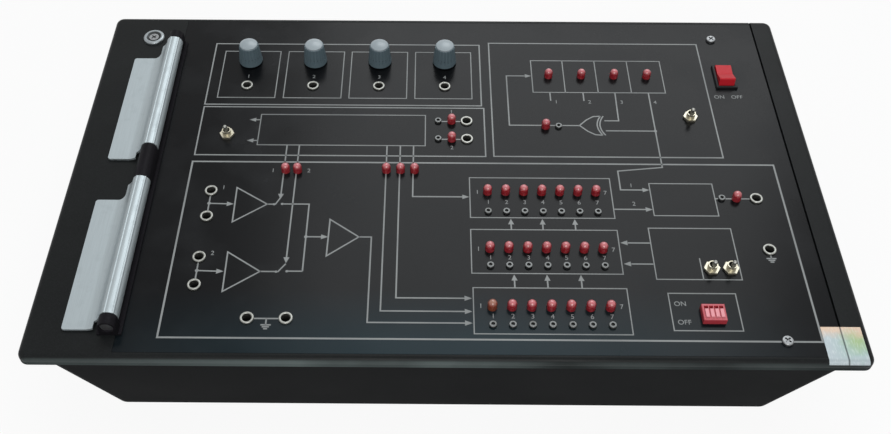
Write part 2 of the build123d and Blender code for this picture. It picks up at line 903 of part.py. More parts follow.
def make_knob(x):
    base = case_top + knob_gap
    top = base + knob_height
    knob = Pos(x, pot_y, base) * Cone(
        knob_base_radius, knob_top_radius, knob_height, align=(Align.CENTER, Align.CENTER, Align.MIN)
    )
    knob = fillet(knob.edges().sort_by(Axis.Z)[0], knob_base_round)
    lean = atan2(knob_base_radius - knob_top_radius, knob_height)
    flute_start = Pos(knob_base_radius - knob_skirt * tan(lean), 0, knob_skirt)
    groove = Cylinder(knob_flute_radius, knob_height, align=(Align.CENTER, Align.CENTER, Align.MIN))
    flute = flute_start * (Rot(0, -degrees(lean), 0) * groove)
    flutes = []
    for n in range(1, knob_flutes):
        flutes.append(Pos(x, pot_y, base) * (Rot(0, 0, 90 + n * 360 / knob_flutes) * flute))
    knob -= flutes
    knob -= rod(x, pot_y, base, base + knob_recess_depth, knob_recess_radius)
    knob -= rod(x, pot_y, base, case_top + shaft_top, shaft_radius)
    knob -= rod(x, pot_y, top - cap_seat, top, cap_radius)
    return knob


def make_cap(x):
    seat = case_top + knob_gap + knob_height - cap_seat
    rim = seat + cap_seat + cap_band
    dome_radius = (cap_radius ** 2 + cap_rise ** 2) / (2 * cap_rise)
    ball = Pos(x, pot_y, rim + cap_rise - dome_radius) * Sphere(dome_radius)
    column = rod(x, pot_y, seat, rim + cap_rise, cap_radius)
    return column & ball


def make_sockets():
    sockets = []
    for x, y in socket_places():
        top = case_top + socket_collar
        low = top - socket_bore_depth - socket_floor
        socket = rod(x, y, case_top, top, socket_radius) + rod(x, y, low, case_top, socket_tube_radius)
        socket -= rod(x, y, low + socket_floor, top, socket_bore)
        socket = fillet(socket.edges().group_by(Axis.Z)[-1], socket_round)
        sockets.append(socket + rod(x, y, board_top, low, socket_tail_radius))
    return joined(sockets)


def make_socket_nuts():
    low = panel_under - socket_nut_height
    return joined(
        nut_on(x, y, low, panel_under, socket_nut_flats, socket_tube_radius) for x, y in socket_places()
    )


def lamp(x, y):
    """A round indicator lamp on two legs, its flange under the panel and its dome standing out of it."""
    low = panel_under - lamp_flange_height
    top = low + lamp_body_height
    body = rod(x, y, low, top - lamp_radius, lamp_radius)
    body += Pos(x, y, top - lamp_radius) * Sphere(lamp_radius)
    body += rod(x, y, low, low + lamp_flange_height, lamp_flange_radius)
    for side in (-1, 1):
        leg_x = x + side * lamp_leg_pitch / 2
        half = lamp_leg / 2
        body += box(leg_x - half, leg_x + half, y - half, y + half, board_top, low)
    return body


def make_test_pins():
    """Test points: a small turned ring on the panel, with a stem down to the board."""
    pins = []
    for x, y in pin_places():
        top = case_top + pin_ring_height
        ring = rod(x, y, case_top, top, pin_ring_radius)
        ring = fillet(ring.edges().group_by(Axis.Z)[-1], pin_ring_round)
        ring -= rod(x, y, case_top + pin_ring_floor, top, pin_ring_bore)
        pins.append(ring + rod(x, y, board_top, case_top, pin_radius))
    return joined(pins)


def toggle_pivot_z():
    return case_top + toggle_bushing_height - toggle_pivot_height - toggle_ball_radius


def make_toggle_body(x, y):
    half_w = toggle_body_width / 2
    half_l = toggle_body_length / 2
    low = panel_under - toggle_body_height
    body = box(x - half_w, x + half_w, y - half_l, y + half_l, low, panel_under)
    body += rod(x, y, panel_under, case_top + toggle_bushing_height, toggle_bushing_radius)
    seat = toggle_pivot_z() - toggle_ball_radius - toggle_ball_gap
    body -= rod(x, y, seat, case_top + toggle_bushing_height, toggle_bore)
    for n in (-1, 0, 1):
        leg_y = y + n * toggle_leg_pitch
        half = toggle_leg / 2
        body += box(x - half, x + half, leg_y - half, leg_y + half, board_top, low)
    return body


def make_lever(x, y):
    """A bat lever on its ball, leaning towards the front."""
    shank = Cone(
        lever_root_radius, lever_tip_radius, lever_length, align=(Align.CENTER, Align.CENTER, Align.MIN)
    )
    lever = Sphere(toggle_ball_radius) + shank
    lever += Pos(0, 0, lever_length) * Sphere(lever_tip_radius)
    return Pos(x, y, toggle_pivot_z()) * (Rot(toggle_tilt, 0, 0) * lever)


def around_rocker(width, length, low, high):
    half_w = width / 2
    half_l = length / 2
    return box(rocker_x - half_w, rocker_x + half_w, rocker_y - half_l, rocker_y + half_l, low, high)


def make_rocker_housing():
    top = case_top + bezel_height
    bezel = around_rocker(bezel_width, bezel_length, case_top, top)
    bezel = fillet(bezel.edges().group_by(Axis.Z)[-1], bezel_round)
    low = case_top - rocker_body_depth
    housing = bezel + around_rocker(rocker_body_width, rocker_body_length, low, case_top)
    cavity_width = rocker_width + 2 * rocker_side_gap
    cavity_length = rocker_length + 2 * rocker_end_gap
    housing -= around_rocker(cavity_width, cavity_length, case_top - rocker_cavity_depth, top)
    pivot_z = case_top - rocker_pivot_depth
    pin_space = rocker_width + 2 * (rocker_pin_reach + rocker_pin_gap)
    socket = Rot(0, 90, 0) * Cylinder(rocker_pivot_radius + rocker_pivot_fit, pin_space)
    housing -= Pos(rocker_x, rocker_y, pivot_z) * socket
    for y in blade_ys():
        housing += box(
            rocker_x - blade_width / 2, rocker_x + blade_width / 2,
            y - blade_thickness / 2, y + blade_thickness / 2,
            low - blade_length, low,
        )
    return housing


def blade_ys():
    return (rocker_y - blade_pitch / 2, rocker_y + blade_pitch / 2)


def make_rocker():
    """The rocking cap: a shallow V on top, a rounded belly and two pivot pins."""
    half = rocker_length / 2
    top_edge = bezel_height + rocker_pivot_depth + rocker_rise
    valley = bezel_height + rocker_pivot_depth + rocker_valley
    side = [
        Polyline(
            (-half, -rocker_skirt), (-half, top_edge), (0, valley), (half, top_edge), (half, -rocker_skirt)
        ),
        ThreePointArc((half, -rocker_skirt), (0, -rocker_belly), (-half, -rocker_skirt)),
    ]
    plane = Plane(origin=(-rocker_width / 2, 0, 0), x_dir=(0, 1, 0), z_dir=(1, 0, 0))
    cap = plane * extrude(make_face(side), rocker_width)
    cap = fillet(cap.edges().filter_by(Axis.X).sort_by(Axis.Z)[-2:], rocker_round)
    cap += Rot(0, 90, 0) * Cylinder(rocker_pivot_radius, rocker_width + 2 * rocker_pin_reach)
    return Pos(rocker_x, rocker_y, case_top - rocker_pivot_depth) * (Rot(-rocker_tilt, 0, 0) * cap)


def dip_xs():
    first = dip_x - (dip_count - 1) * dip_pitch / 2
    return [first + n * dip_pitch for n in range(dip_count)]


def make_dip_body():
    top = case_top + dip_proud
    half_w = dip_width / 2
    half_l = dip_length / 2
    body = box(dip_x - half_w, dip_x + half_w, dip_y - half_l, dip_y + half_l, top - dip_body_height, top)
    body = chamfer(body.edges().group_by(Axis.Z)[-1], dip_edge)
    half_w = dip_slot_width / 2
    half_l = dip_slot_length / 2
    low = top - dip_slot_depth
    return body - [box(x - half_w, x + half_w, dip_y - half_l, dip_y + half_l, low, top) for x in dip_xs()]


def make_dip_socket():
    """The socket block that lifts the slide switch from the board up to the panel."""
    top = case_top + dip_proud - dip_body_height
    half_w = dip_width / 2 - dip_socket_wall
    half_l = dip_length / 2 - dip_socket_wall
    return box(dip_x - half_w, dip_x + half_w, dip_y - half_l, dip_y + half_l, board_top, top)


def make_dip_lever(x):
    """One slide lever, at the front end of its slot."""
    top = case_top + dip_proud
    front = dip_y - dip_slot_length / 2 + dip_end_gap
    half_w = dip_lever_width / 2
    low = top - dip_slot_depth + dip_clearance
    lever = box(x - half_w, x + half_w, front, front + dip_lever_length, low, top + dip_lever_proud)
    return fillet(lever.edges().group_by(Axis.Z)[-1], dip_lever_round)


def supply_board_top():
    return floor_top + supply_standoff + board_thickness


def on_supply(x, y):
    return supply_x + x, supply_y + y


def make_supply_board():
    low = floor_top + supply_standoff
    half_w = supply_width / 2
    half_d = supply_depth / 2
    high = supply_board_top()
    board = box(supply_x - half_w, supply_x + half_w, supply_y - half_d, supply_y + half_d, low, high)
    return board - [rod(x, y, low, high, screw_radius + hole_clearance) for x, y in supply_hole_places()]


def make_supply_screws():
    seat = supply_board_top()
    return joined(
        screw_down(x, y, seat, board_thickness + supply_standoff - screw_tip_gap, supply_screw_head)
        for x, y in supply_hole_places()
    )


def make_core():
    """The transformer's laminated core: an outer frame and a middle leg."""
    x, y = on_supply(0, transformer_y)
    centre = Pos(x, y, supply_board_top() + transformer_size[2] / 2)
    core = centre * Box(*transformer_size) - centre * Box(*bobbin_size)
    return core + centre * Box(core_leg_width, transformer_size[1], transformer_size[2])


def make_bobbin():
    """The winding on its bobbin, which stands on two rows of pins."""
    x, y = on_supply(0, transformer_y)
    z = supply_board_top() + transformer_size[2] / 2
    width, length, height = bobbin_size
    centre = Pos(x, y, z)
    coil = centre * Box(width, length, height)
    coil -= centre * Box(core_leg_width, length, height)
    for side in (-1, 1):
        end_y = y + side * (length + bobbin_flange) / 2
        coil += Pos(x, end_y, z) * Box(width, bobbin_flange, height)
        half_w = bobbin_pin_width / 2
        half_t = bobbin_pin_thickness / 2
        pins_top = z - height / 2
        coil += box(x - half_w, x + half_w, end_y - half_t, end_y + half_t, supply_board_top(), pins_top)
    return coil


def make_capacitors():
    z = supply_board_top()
    cans = []
    for dx, dy, radius, height in capacitor_list:
        x, y = on_supply(dx, dy)
        can = rod(x, y, z, z + height, radius)
        can = fillet(can.edges().group_by(Axis.Z)[-1], capacitor_round)
        cans.append(can)
    return joined(cans)


def make_heat_sink():
    x, y = on_supply(-sink_shift, -supply_depth / 2 + sink_margin)
    z = supply_board_top()
    sink = box(x, x + sink_length, y, y + sink_base, z, z + sink_height)
    step = (sink_length - sink_base) / (sink_fin_count - 1)
    for n in range(sink_fin_count):
        fin_x = x + n * step
        sink += box(fin_x, fin_x + sink_base, y - sink_fin_depth, y, z + sink_foot_gap, z + sink_height)
    return sink


def terminal(x, y, count):
    """A row of screw terminals on the supply board."""
    z = supply_board_top()
    block = box(x, x + count * terminal_width, y, y + terminal_depth, z, z + terminal_height)
    for n in range(count):
        centre = x + (n + 0.5) * terminal_width
        high = z + terminal_height
        block -= rod(centre, y + terminal_depth / 2, high - terminal_bore_depth, high, terminal_bore)
    return block


def mains_terminal_place():
    dx, dy = mains_terminal_offset
    return on_supply(-supply_width / 2 + dx, supply_depth / 2 - terminal_depth - dy)


def dc_terminal_place():
    dx, dy = dc_terminal_offset
    return on_supply(supply_width / 2 - dx, -supply_depth / 2 + dy)


def make_terminals():
    return joined([terminal(*mains_terminal_place(), 3), terminal(*dc_terminal_place(), 3)])


def make_inlet():
    thick = inlet_flange_thickness
    flange = extrude(RectangleRounded(inlet_flange_width, inlet_flange_height, inlet_flange_corner), thick)
    body_face = RectangleRounded(inlet_body_width, inlet_body_height, inlet_body_corner)
    body = extrude(body_face, -inlet_body_depth)
    mouth_face = RectangleRounded(inlet_cavity_width, inlet_cavity_height, inlet_cavity_corner)
    mouth = Pos(0, 0, thick) * extrude(mouth_face, -inlet_cavity_depth)
    inlet = flange + body - mouth
    for side in (-1, 1):
        x = side * inlet_screw_spacing / 2
        inlet -= Pos(x, 0, 0) * Cylinder(screw_radius + hole_clearance, 4 * thick)
    for x, y in blade_places():
        inlet -= Pos(x, y, -inlet_body_depth) * Box(inlet_blade[0], inlet_blade[1], inlet_body_depth)
    return on_inlet(inlet)


def blade_places():
    half = inlet_blade_pitch / 2
    return [(-half, 0), (0, inlet_earth_lift), (half, 0)]


def make_inlet_blades():
    tip = inlet_flange_thickness - (inlet_cavity_depth - inlet_blade_reach)
    tail = -inlet_body_depth - inlet_tab_length
    blades = []
    for x, y in blade_places():
        blade = Pos(0, 0, (tip + tail) / 2) * Box(inlet_blade[0], inlet_blade[1], tip - tail)
        blades.append(on_inlet(Pos(x, y, 0) * blade))
    return joined(blades)


def make_inlet_screws():
    screws = []
    for side in (-1, 1):
        head = Pos(0, 0, inlet_flange_thickness) * extrude(Circle(screw_head_radius), screw_head_height)
        head = fillet(head.edges().group_by(Axis.Z)[-1], screw_head_round)
        slot = Box(2 * screw_head_radius, screw_slot, 2 * screw_cross_depth)
        head -= Pos(0, 0, inlet_flange_thickness + screw_head_height) * slot
        length = inlet_screw_reach + inlet_flange_thickness
        shank = Pos(0, 0, -inlet_screw_reach) * extrude(Circle(screw_radius), length)
        nut_face = RegularPolygon(inlet_nut_flats / 2, 6, major_radius=False)
        nut = Pos(0, 0, -tub_wall_thickness()) * extrude(nut_face, -inlet_nut_height)
        screw = head + shank + nut
        screws.append(on_inlet(Pos(side * inlet_screw_spacing / 2, 0, 0) * screw))
    return joined(screws)


def tub_wall_thickness():
    """The wall measured square to its slope."""
    return tub_wall * cos(radians(wall_draft))


def lead(points, radius):
    """A round lead along straight runs joined by large arcs."""
    points = [Vector(*point) for point in points]
    runs = [(b - a).length for a, b in zip(points, points[1:])]
    radii = []
    for n in range(1, len(points) - 1):
        turn = radians((points[n] - points[n - 1]).get_angle(points[n + 1] - points[n]))
        radii.append(lead_arc_share * min(runs[n - 1], runs[n]) / tan(turn / 2))
    path = FilletPolyline(*points, radius=radii)
    start = Plane(origin=points[0], z_dir=points[1] - points[0])
    return sweep(start * Circle(radius), path=path)


def blade_tail(index):
    """Where a lead meets the inner end of an inlet blade, and the direction it leaves in."""
    x, y = blade_places()[index]
    plane = inlet_plane()
    tail = plane.from_local_coords(Vector(x, y, -inlet_body_depth - inlet_tab_length))
    return tail, plane.z_dir * -1


def terminal_top(place, index):
    x, y = place
    z = supply_board_top() + terminal_height - terminal_bore_depth
    return Vector(x + (index + 0.5) * terminal_width, y + terminal_depth / 2, z)


def make_mains_leads():
    switch_z = case_top - rocker_body_depth - blade_length
    first, out = blade_tail(0)
    near, far = blade_ys()
    live = [
        first, first + out * 7, (first.X + 13, first.Y - 17, 38), (rocker_x - 20, far + 2, 37),
        (rocker_x - 5, far + 1, 42), (rocker_x, far, switch_z - 8), (rocker_x, far, switch_z),
    ]
    end = terminal_top(mains_terminal_place(), 2)
    switched = [
        (rocker_x, near, switch_z), (rocker_x, near, switch_z - 7), (rocker_x - 8, near - 1, 41),
        (rocker_x - 34, near, 35), (supply_x + 9, near + 4, 42), (supply_x - 20, near + 2, 40),
        (end.X + 2, end.Y + 1, 34), (end.X, end.Y, end.Z + 7), end,
    ]
    third, out = blade_tail(2)
    end = terminal_top(mains_terminal_place(), 0)
    neutral = [
        third, third + out * 7, (third.X - 12, third.Y - 16, 36), (inlet_x - 38, half_depth - 43.5, 34),
        (end.X + 5, end.Y + 5, 33), (end.X, end.Y, end.Z + 8), end,
    ]
    earth, out = blade_tail(1)
    end = terminal_top(mains_terminal_place(), 1)
    ground = [
        earth, earth + out * 7, (earth.X - 11, earth.Y - 16, 45), (inlet_x - 32, half_depth - 45.5, 46),
        (end.X + 6, end.Y + 4, 41), (end.X, end.Y, end.Z + 10), end,
    ]
    return joined(lead(route, lead_radius) for route in (live, switched, neutral, ground))


def make_dc_leads():
    leads = []
    for n in range(3):
        end = terminal_top(dc_terminal_place(), n)
        x = end.X
        route = [
            end, (x, end.Y, end.Z + 8), (x + 1, end.Y - 7, end.Z + 16), (x + 1, end.Y - 14, end.Z + 24),
            (x, end.Y - 16, board_under - 9), (x, end.Y - 16, board_under),
        ]
        leads.append(lead(route, dc_lead_radius))
    return joined(leads)


def make_label():
    """A thin foil label, flat on the panel and the strip and turned down over the rounded front edge."""
    bend_y = -half_depth + frame_edge_round
    bend_z = case_top - frame_edge_round
    centre = (bend_y, bend_z)
    outer = frame_edge_round + label_thickness
    end = radians(90 + label_wrap)
    outline = [
        Line((-label_back, case_top), (-label_back, case_top + label_thickness)),
        Line((-label_back, case_top + label_thickness), (bend_y, case_top + label_thickness)),
        CenterArc(centre, outer, 90, label_wrap),
        Line(
            (bend_y + outer * cos(end), bend_z + outer * sin(end)),
            (bend_y + frame_edge_round * cos(end), bend_z + frame_edge_round * sin(end)),
        ),
        CenterArc(centre, frame_edge_round, 90, label_wrap),
        Line((bend_y, case_top), (-label_back, case_top)),
    ]
    plane = Plane(origin=(label_x - label_width / 2, 0, 0), x_dir=(0, 1, 0), z_dir=(1, 0, 0))
    return plane * extrude(make_face(outline), label_width)


def build():
    """Every node by name."""
    nodes = {
        "base_tub": make_tub(),
        "top_frame": make_frame(),
        "front_panel": make_panel(),
        "hinge_bar": make_hinge_bar(),
        "hinge_rod": make_hinge_rod(),
        "feet": make_feet(),
        "panel_screws": make_panel_screws(),
        "flange_screws": make_flange_screws(),
        "corner_screw": make_corner_screw(),
        "corner_washer": make_washer(),
        "main_board": make_board(),
        "board_pillars": make_pillars(),
        "board_screws": make_board_screws(),
        "board_chips": make_chips(),
        "pot_bodies": joined(make_pot_body(x) for x in pot_xs()),
        "bushing_nuts": make_bushing_nuts(),
        "sockets": make_sockets(),
        "socket_nuts": make_socket_nuts(),
        "red_lamps": joined(lamp(x, y) for x, y in red_lamp_places()),
        "amber_lamp": lamp(*amber_lamp_place()),
        "test_pins": make_test_pins(),
        "toggle_bodies": joined(make_toggle_body(x, y) for x, y in toggle_places()),
        "power_switch_housing": make_rocker_housing(),
        "power_rocker": make_rocker(),
        "fault_switch_body": make_dip_body(),
        "fault_switch_socket": make_dip_socket(),
        "supply_board": make_supply_board(),
        "supply_screws": make_supply_screws(),
        "supply_transformer": joined([make_core(), make_bobbin()]),
        "supply_capacitors": make_capacitors(),
        "supply_heat_sink": make_heat_sink(),
        "supply_terminals": make_terminals(),
        "mains_inlet": make_inlet(),
        "inlet_blades": make_inlet_blades(),
        "inlet_screws": make_inlet_screws(),
        "mains_leads": make_mains_leads(),
        "supply_leads": make_dc_leads(),
        "seal_label": make_label(),
    }
    for name, start in leaf_starts().items():
        nodes["hinge_leaf_" + name] = make_leaf(start)
    for n, x in enumerate(pot_xs(), 1):
        nodes[f"pot_shaft_{n}"] = make_shaft(x)
        nodes[f"knob_{n}"] = make_knob(x)
        nodes[f"knob_cap_{n}"] = make_cap(x)
    for n, (x, y) in enumerate(toggle_places(), 1):
        nodes[f"toggle_lever_{n}"] = make_lever(x, y)
    for n, x in enumerate(dip_xs(), 1):
        nodes[f"fault_lever_{n}"] = make_dip_lever(x)
    return nodes


os.makedirs("parts", exist_ok=True)
for node, shape in build().items():
    export_step(shape, f"parts/{node}.step")
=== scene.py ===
import math

import bpy
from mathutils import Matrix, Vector


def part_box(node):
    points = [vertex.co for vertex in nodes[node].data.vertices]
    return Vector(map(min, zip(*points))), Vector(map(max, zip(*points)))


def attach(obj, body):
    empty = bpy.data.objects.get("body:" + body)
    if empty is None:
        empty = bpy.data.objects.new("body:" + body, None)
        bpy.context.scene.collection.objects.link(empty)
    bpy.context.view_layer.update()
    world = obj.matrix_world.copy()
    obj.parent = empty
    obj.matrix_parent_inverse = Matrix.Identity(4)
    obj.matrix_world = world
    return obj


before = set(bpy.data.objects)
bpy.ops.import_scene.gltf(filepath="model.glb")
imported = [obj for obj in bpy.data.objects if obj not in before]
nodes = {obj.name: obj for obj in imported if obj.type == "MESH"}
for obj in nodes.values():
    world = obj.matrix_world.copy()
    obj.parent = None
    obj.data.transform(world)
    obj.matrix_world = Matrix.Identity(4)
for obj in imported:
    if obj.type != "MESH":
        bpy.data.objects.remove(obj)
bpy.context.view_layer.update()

# The camera that took the picture: held above the front edge of the bench and looking down on the
# panel, a little to the left of the module's middle.
photo_width = 891
sensor_width = 36.0
focal_pixels = 1024.2
middle_shift_pixels = 21.1
camera_place = (-0.0096, -0.3904, 0.5126)
camera_turn = (39.29, -0.13, 0.40)
nearest_seen = 0.01

camera_data = bpy.data.cameras.new("photo_camera")
camera_data.sensor_width = sensor_width
camera_data.lens = focal_pixels * sensor_width / photo_width
camera_data.shift_x = middle_shift_pixels / photo_width
camera_data.clip_start = nearest_seen
camera = bpy.data.objects.new("photo_camera", camera_data)
camera.location = camera_place
camera.rotation_euler = [math.radians(angle) for angle in camera_turn]
bpy.context.scene.collection.objects.link(camera)
bpy.context.scene.camera = camera
bpy.context.scene.view_settings.view_transform = "Standard"

# The bench top and the studio around it: a wide white table, an even pale surround and two soft lamps,
# one in front, above the camera, and one over the back of the bench.
bench_size = 6.0
bench_pale = (0.86, 0.86, 0.86, 1.0)
bench_shade = (0.84, 0.845, 0.85, 1.0)
bench_blotch_scale = 3.0
bench_glow = 0.90
surround_strength = 0.32
surround_tint = (0.97, 0.985, 1.0, 1.0)
plain_white = (1.0, 1.0, 1.0, 1.0)
lamp_aim = Vector((0.0, 0.0, 0.05))
lamp_list = (
    ("front_lamp", (0.05, -0.95, 1.05), (0.6, 0.6), 8.0, (1.0, 0.995, 0.98)),
    ("back_lamp", (0.21, 1.00, 1.25), (1.0, 0.9), 9.8, (0.95, 0.98, 1.0)),
)


def put(tree, kind, inputs=None, **settings):
    """One shader node: its settings are made, then each named input is set or linked."""
    made = tree.nodes.new(kind)
    for key, value in settings.items():
        setattr(made, key, value)
    for name, value in (inputs or {}).items():
        if isinstance(value, bpy.types.NodeSocket):
            tree.links.new(value, made.inputs[name])
        else:
            made.inputs[name].default_value = value
    return made


def sum_up(tree, operation, *values):
    """One step of arithmetic on numbers or outputs."""
    return put(tree, "ShaderNodeMath", dict(enumerate(values)), operation=operation).outputs[0]


def seen_directly(tree, strength):
    """The given strength for what the camera, a gloss or a clear piece looks at, and 0 for light."""
    path = put(tree, "ShaderNodeLightPath").outputs
    seen = sum_up(tree, "ADD", path["Is Camera Ray"], path["Is Glossy Ray"])
    return sum_up(tree, "MULTIPLY", sum_up(tree, "ADD", seen, path["Is Transmission Ray"]), strength)


world = bpy.data.worlds.new("surround")
bpy.context.scene.world = world
world.use_nodes = True
tree = world.node_tree
tree.nodes.clear()
light = put(tree, "ShaderNodeBackground", {"Color": surround_tint, "Strength": surround_strength})
white = put(tree, "ShaderNodeBackground", {"Color": plain_white, "Strength": 1.0})
share = seen_directly(tree, 1.0)
both = put(tree, "ShaderNodeMixShader", {0: share, 1: light.outputs[0], 2: white.outputs[0]})
put(tree, "ShaderNodeOutputWorld", {"Surface": both.outputs[0]})

bench_mesh = bpy.data.meshes.new("bench_top")
half = bench_size / 2
bench_corners = [(-half, -half, 0), (half, -half, 0), (half, half, 0), (-half, half, 0)]
bench_mesh.from_pydata(bench_corners, [], [(0, 1, 2, 3)])
bench = bpy.data.objects.new("bench_top", bench_mesh)
bpy.context.scene.collection.objects.link(bench)
bench_paint = bpy.data.materials.new("bench_paint")
bench_paint.use_nodes = True
tree = bench_paint.node_tree
tree.nodes.clear()
cloud = put(tree, "ShaderNodeTexNoise", {"Scale": bench_blotch_scale})
tone = put(tree, "ShaderNodeMixRGB", {0: cloud.outputs[0], 1: bench_pale, 2: bench_shade})
matt = put(tree, "ShaderNodeBsdfDiffuse", {"Color": tone.outputs[0]})
glow = put(tree, "ShaderNodeEmission", {"Color": plain_white, "Strength": 1.0})
share = seen_directly(tree, bench_glow)
both = put(tree, "ShaderNodeMixShader", {0: share, 1: matt.outputs[0], 2: glow.outputs[0]})
put(tree, "ShaderNodeOutputMaterial", {"Surface": both.outputs[0]})
bench_mesh.materials.append(bench_paint)

for name, place, size, power, tint in lamp_list:
    lamp_data = bpy.data.lights.new(name, "AREA")
    lamp_data.shape = "RECTANGLE"
    lamp_data.size, lamp_data.size_y = size
    lamp_data.energy = power
    lamp_data.color = tint
    studio_lamp = bpy.data.objects.new(name, lamp_data)
    studio_lamp.location = place
    studio_lamp.rotation_euler = (lamp_aim - Vector(place)).to_track_quat("-Z", "Y").to_euler()
    bpy.context.scene.collection.objects.link(studio_lamp)

# The moulded case: a tub with sloping walls and the frame that closes it, both of black ABS with a
# fine spark-eroded grain. A little dust lies on what faces up, and the gloss varies in cloudy patches.
# A painted highlight runs along the outermost edge of the rim, strongest near its middle and in patches.
case_black = (0.0080, 0.0085, 0.0090, 1.0)
frame_black = (0.0085, 0.0095, 0.0098, 1.0)
case_dust = (0.050, 0.056, 0.058, 1.0)
case_grain = 0.00050
frame_grain = 0.0007
case_grain_depth = 0.00004
fine_detail = 2.0
pit_band = (0.45, 0.75)
pit_share = 0.12
gloss_patch_size = 0.04
dust_slope_band = (0.2, 1.0)
dust_detail = 4.0
dust_cloud_size = 0.05
dust_cloud_band = (0.35, 0.75)
dust_speck_size = 0.0012
dust_speck_band = (0.60, 0.80)
dust_speck_share = 0.8
rim_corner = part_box("top_frame")[1]
# The painted highlight on the rim's outer edge: its strength, the frame's outer half sizes and its pale
# colour.
rim_highlight_paint = {
    "Rim highlight": 0.85,
    "Half width": rim_corner.x,
    "Half depth": rim_corner.y,
    "Highlight colour": (0.120, 0.148, 0.146, 1.0),
}
# Bands of the painted rim highlight: its width in from the outer edge, its fall away from the middle, and its
# patches.
rim_highlight_band = (0.0003, 0.0011)
rim_highlight_middle_x = -0.045
rim_highlight_side_band = (0.03, 0.13)
rim_highlight_fall = -0.55
rim_highlight_patch_size = 0.06
rim_highlight_patch_band = (0.25, 0.60)


def new_group(name, numbers, colours):
    """A surface group: named inputs, and a colour, a roughness and a height as outputs."""
    group = bpy.data.node_groups.new(name, "ShaderNodeTree")
    for label, value in colours.items():
        socket = group.interface.new_socket(label, in_out="INPUT", socket_type="NodeSocketColor")
        socket.default_value = value
    for label, value in numbers.items():
        socket = group.interface.new_socket(label, in_out="INPUT", socket_type="NodeSocketFloat")
        socket.default_value = value
    group.interface.new_socket("Colour", in_out="OUTPUT", socket_type="NodeSocketColor")
    for label in ("Roughness", "Height"):
        group.interface.new_socket(label, in_out="OUTPUT", socket_type="NodeSocketFloat")
    return group, group.nodes.new("NodeGroupInput").outputs


def close_group(group, colour, roughness, height):
    """Joins the three results to the group's outputs."""
    result = group.nodes.new("NodeGroupOutput")
    for value, label in ((colour, "Colour"), (roughness, "Roughness"), (height, "Height")):
        group.links.new(value, result.inputs[label])
    return group


def place_on_piece(tree):
    """Where the point lies on its piece, in metres."""
    return put(tree, "ShaderNodeTexCoord").outputs["Object"]


def noise_of_size(tree, size, detail=3.0, stretch=(1.0, 1.0, 1.0)):
    """Noise whose blotches are about size metres across, held to the piece."""
    place = put(tree, "ShaderNodeMapping", {"Vector": place_on_piece(tree), "Scale": stretch}).outputs[0]
    per_metre = sum_up(tree, "DIVIDE", 1.0, size)
    return put(tree, "ShaderNodeTexNoise", {"Vector": place, "Scale": per_metre, "Detail": detail}).outputs[0]


def ramp(tree, value, low, high):
    """0 up to low, and 1 from high on."""
    return put(tree, "ShaderNodeMapRange", {"Value": value, "From Min": low, "From Max": high}).outputs[0]


def fade(tree, value, low, high):
    """1 up to low, and 0 from high on."""
    return sum_up(tree, "SUBTRACT", 1.0, ramp(tree, value, low, high))


def mixed(tree, share, first, second):
    """The first colour, with the given share of the second."""
    return put(tree, "ShaderNodeMixRGB", {0: share, 1: first, 2: second}).outputs[0]


def facing_up(tree, band):
    """0 where the surface is steep, and 1 where it faces up, with the two slopes that the band gives."""
    normal = put(tree, "ShaderNodeNewGeometry").outputs["Normal"]
    return ramp(tree, put(tree, "ShaderNodeSeparateXYZ", {0: normal}).outputs["Z"], *band)


def dust_on_top(tree, amount):
    """How much dust lies where the surface faces up, in clouds and specks."""
    upward = facing_up(tree, dust_slope_band)
    cloud = ramp(tree, noise_of_size(tree, dust_cloud_size, dust_detail), *dust_cloud_band)
    speck = ramp(tree, noise_of_size(tree, dust_speck_size, dust_detail), *dust_speck_band)
    patchy = sum_up(tree, "MULTIPLY_ADD", speck, dust_speck_share, cloud)
    return sum_up(tree, "MULTIPLY", sum_up(tree, "MULTIPLY", patchy, amount), upward)


def painted_rim_highlight(tree, half_width, half_depth, amount):
    """Painted highlight on the outermost edge of the rim: strongest near the middle, and in patches."""
    axes = put(tree, "ShaderNodeSeparateXYZ", {0: place_on_piece(tree)}).outputs
    reach = []
    for axis, half in (("X", half_width), ("Y", half_depth)):
        inside = sum_up(tree, "SUBTRACT", half, sum_up(tree, "ABSOLUTE", axes[axis]))
        reach.append(fade(tree, inside, *rim_highlight_band))
    edge = sum_up(tree, "MAXIMUM", *reach)
    off_middle = sum_up(tree, "ABSOLUTE", sum_up(tree, "SUBTRACT", axes["X"], rim_highlight_middle_x))
    toward_middle = sum_up(tree, "MULTIPLY_ADD", ramp(tree, off_middle, *rim_highlight_side_band), rim_highlight_fall, 1.0)
    patchy = ramp(tree, noise_of_size(tree, rim_highlight_patch_size), *rim_highlight_patch_band)
    lit_edge = sum_up(tree, "MULTIPLY", edge, patchy)
    return sum_up(tree, "MULTIPLY", lit_edge, sum_up(tree, "MULTIPLY", toward_middle, amount))


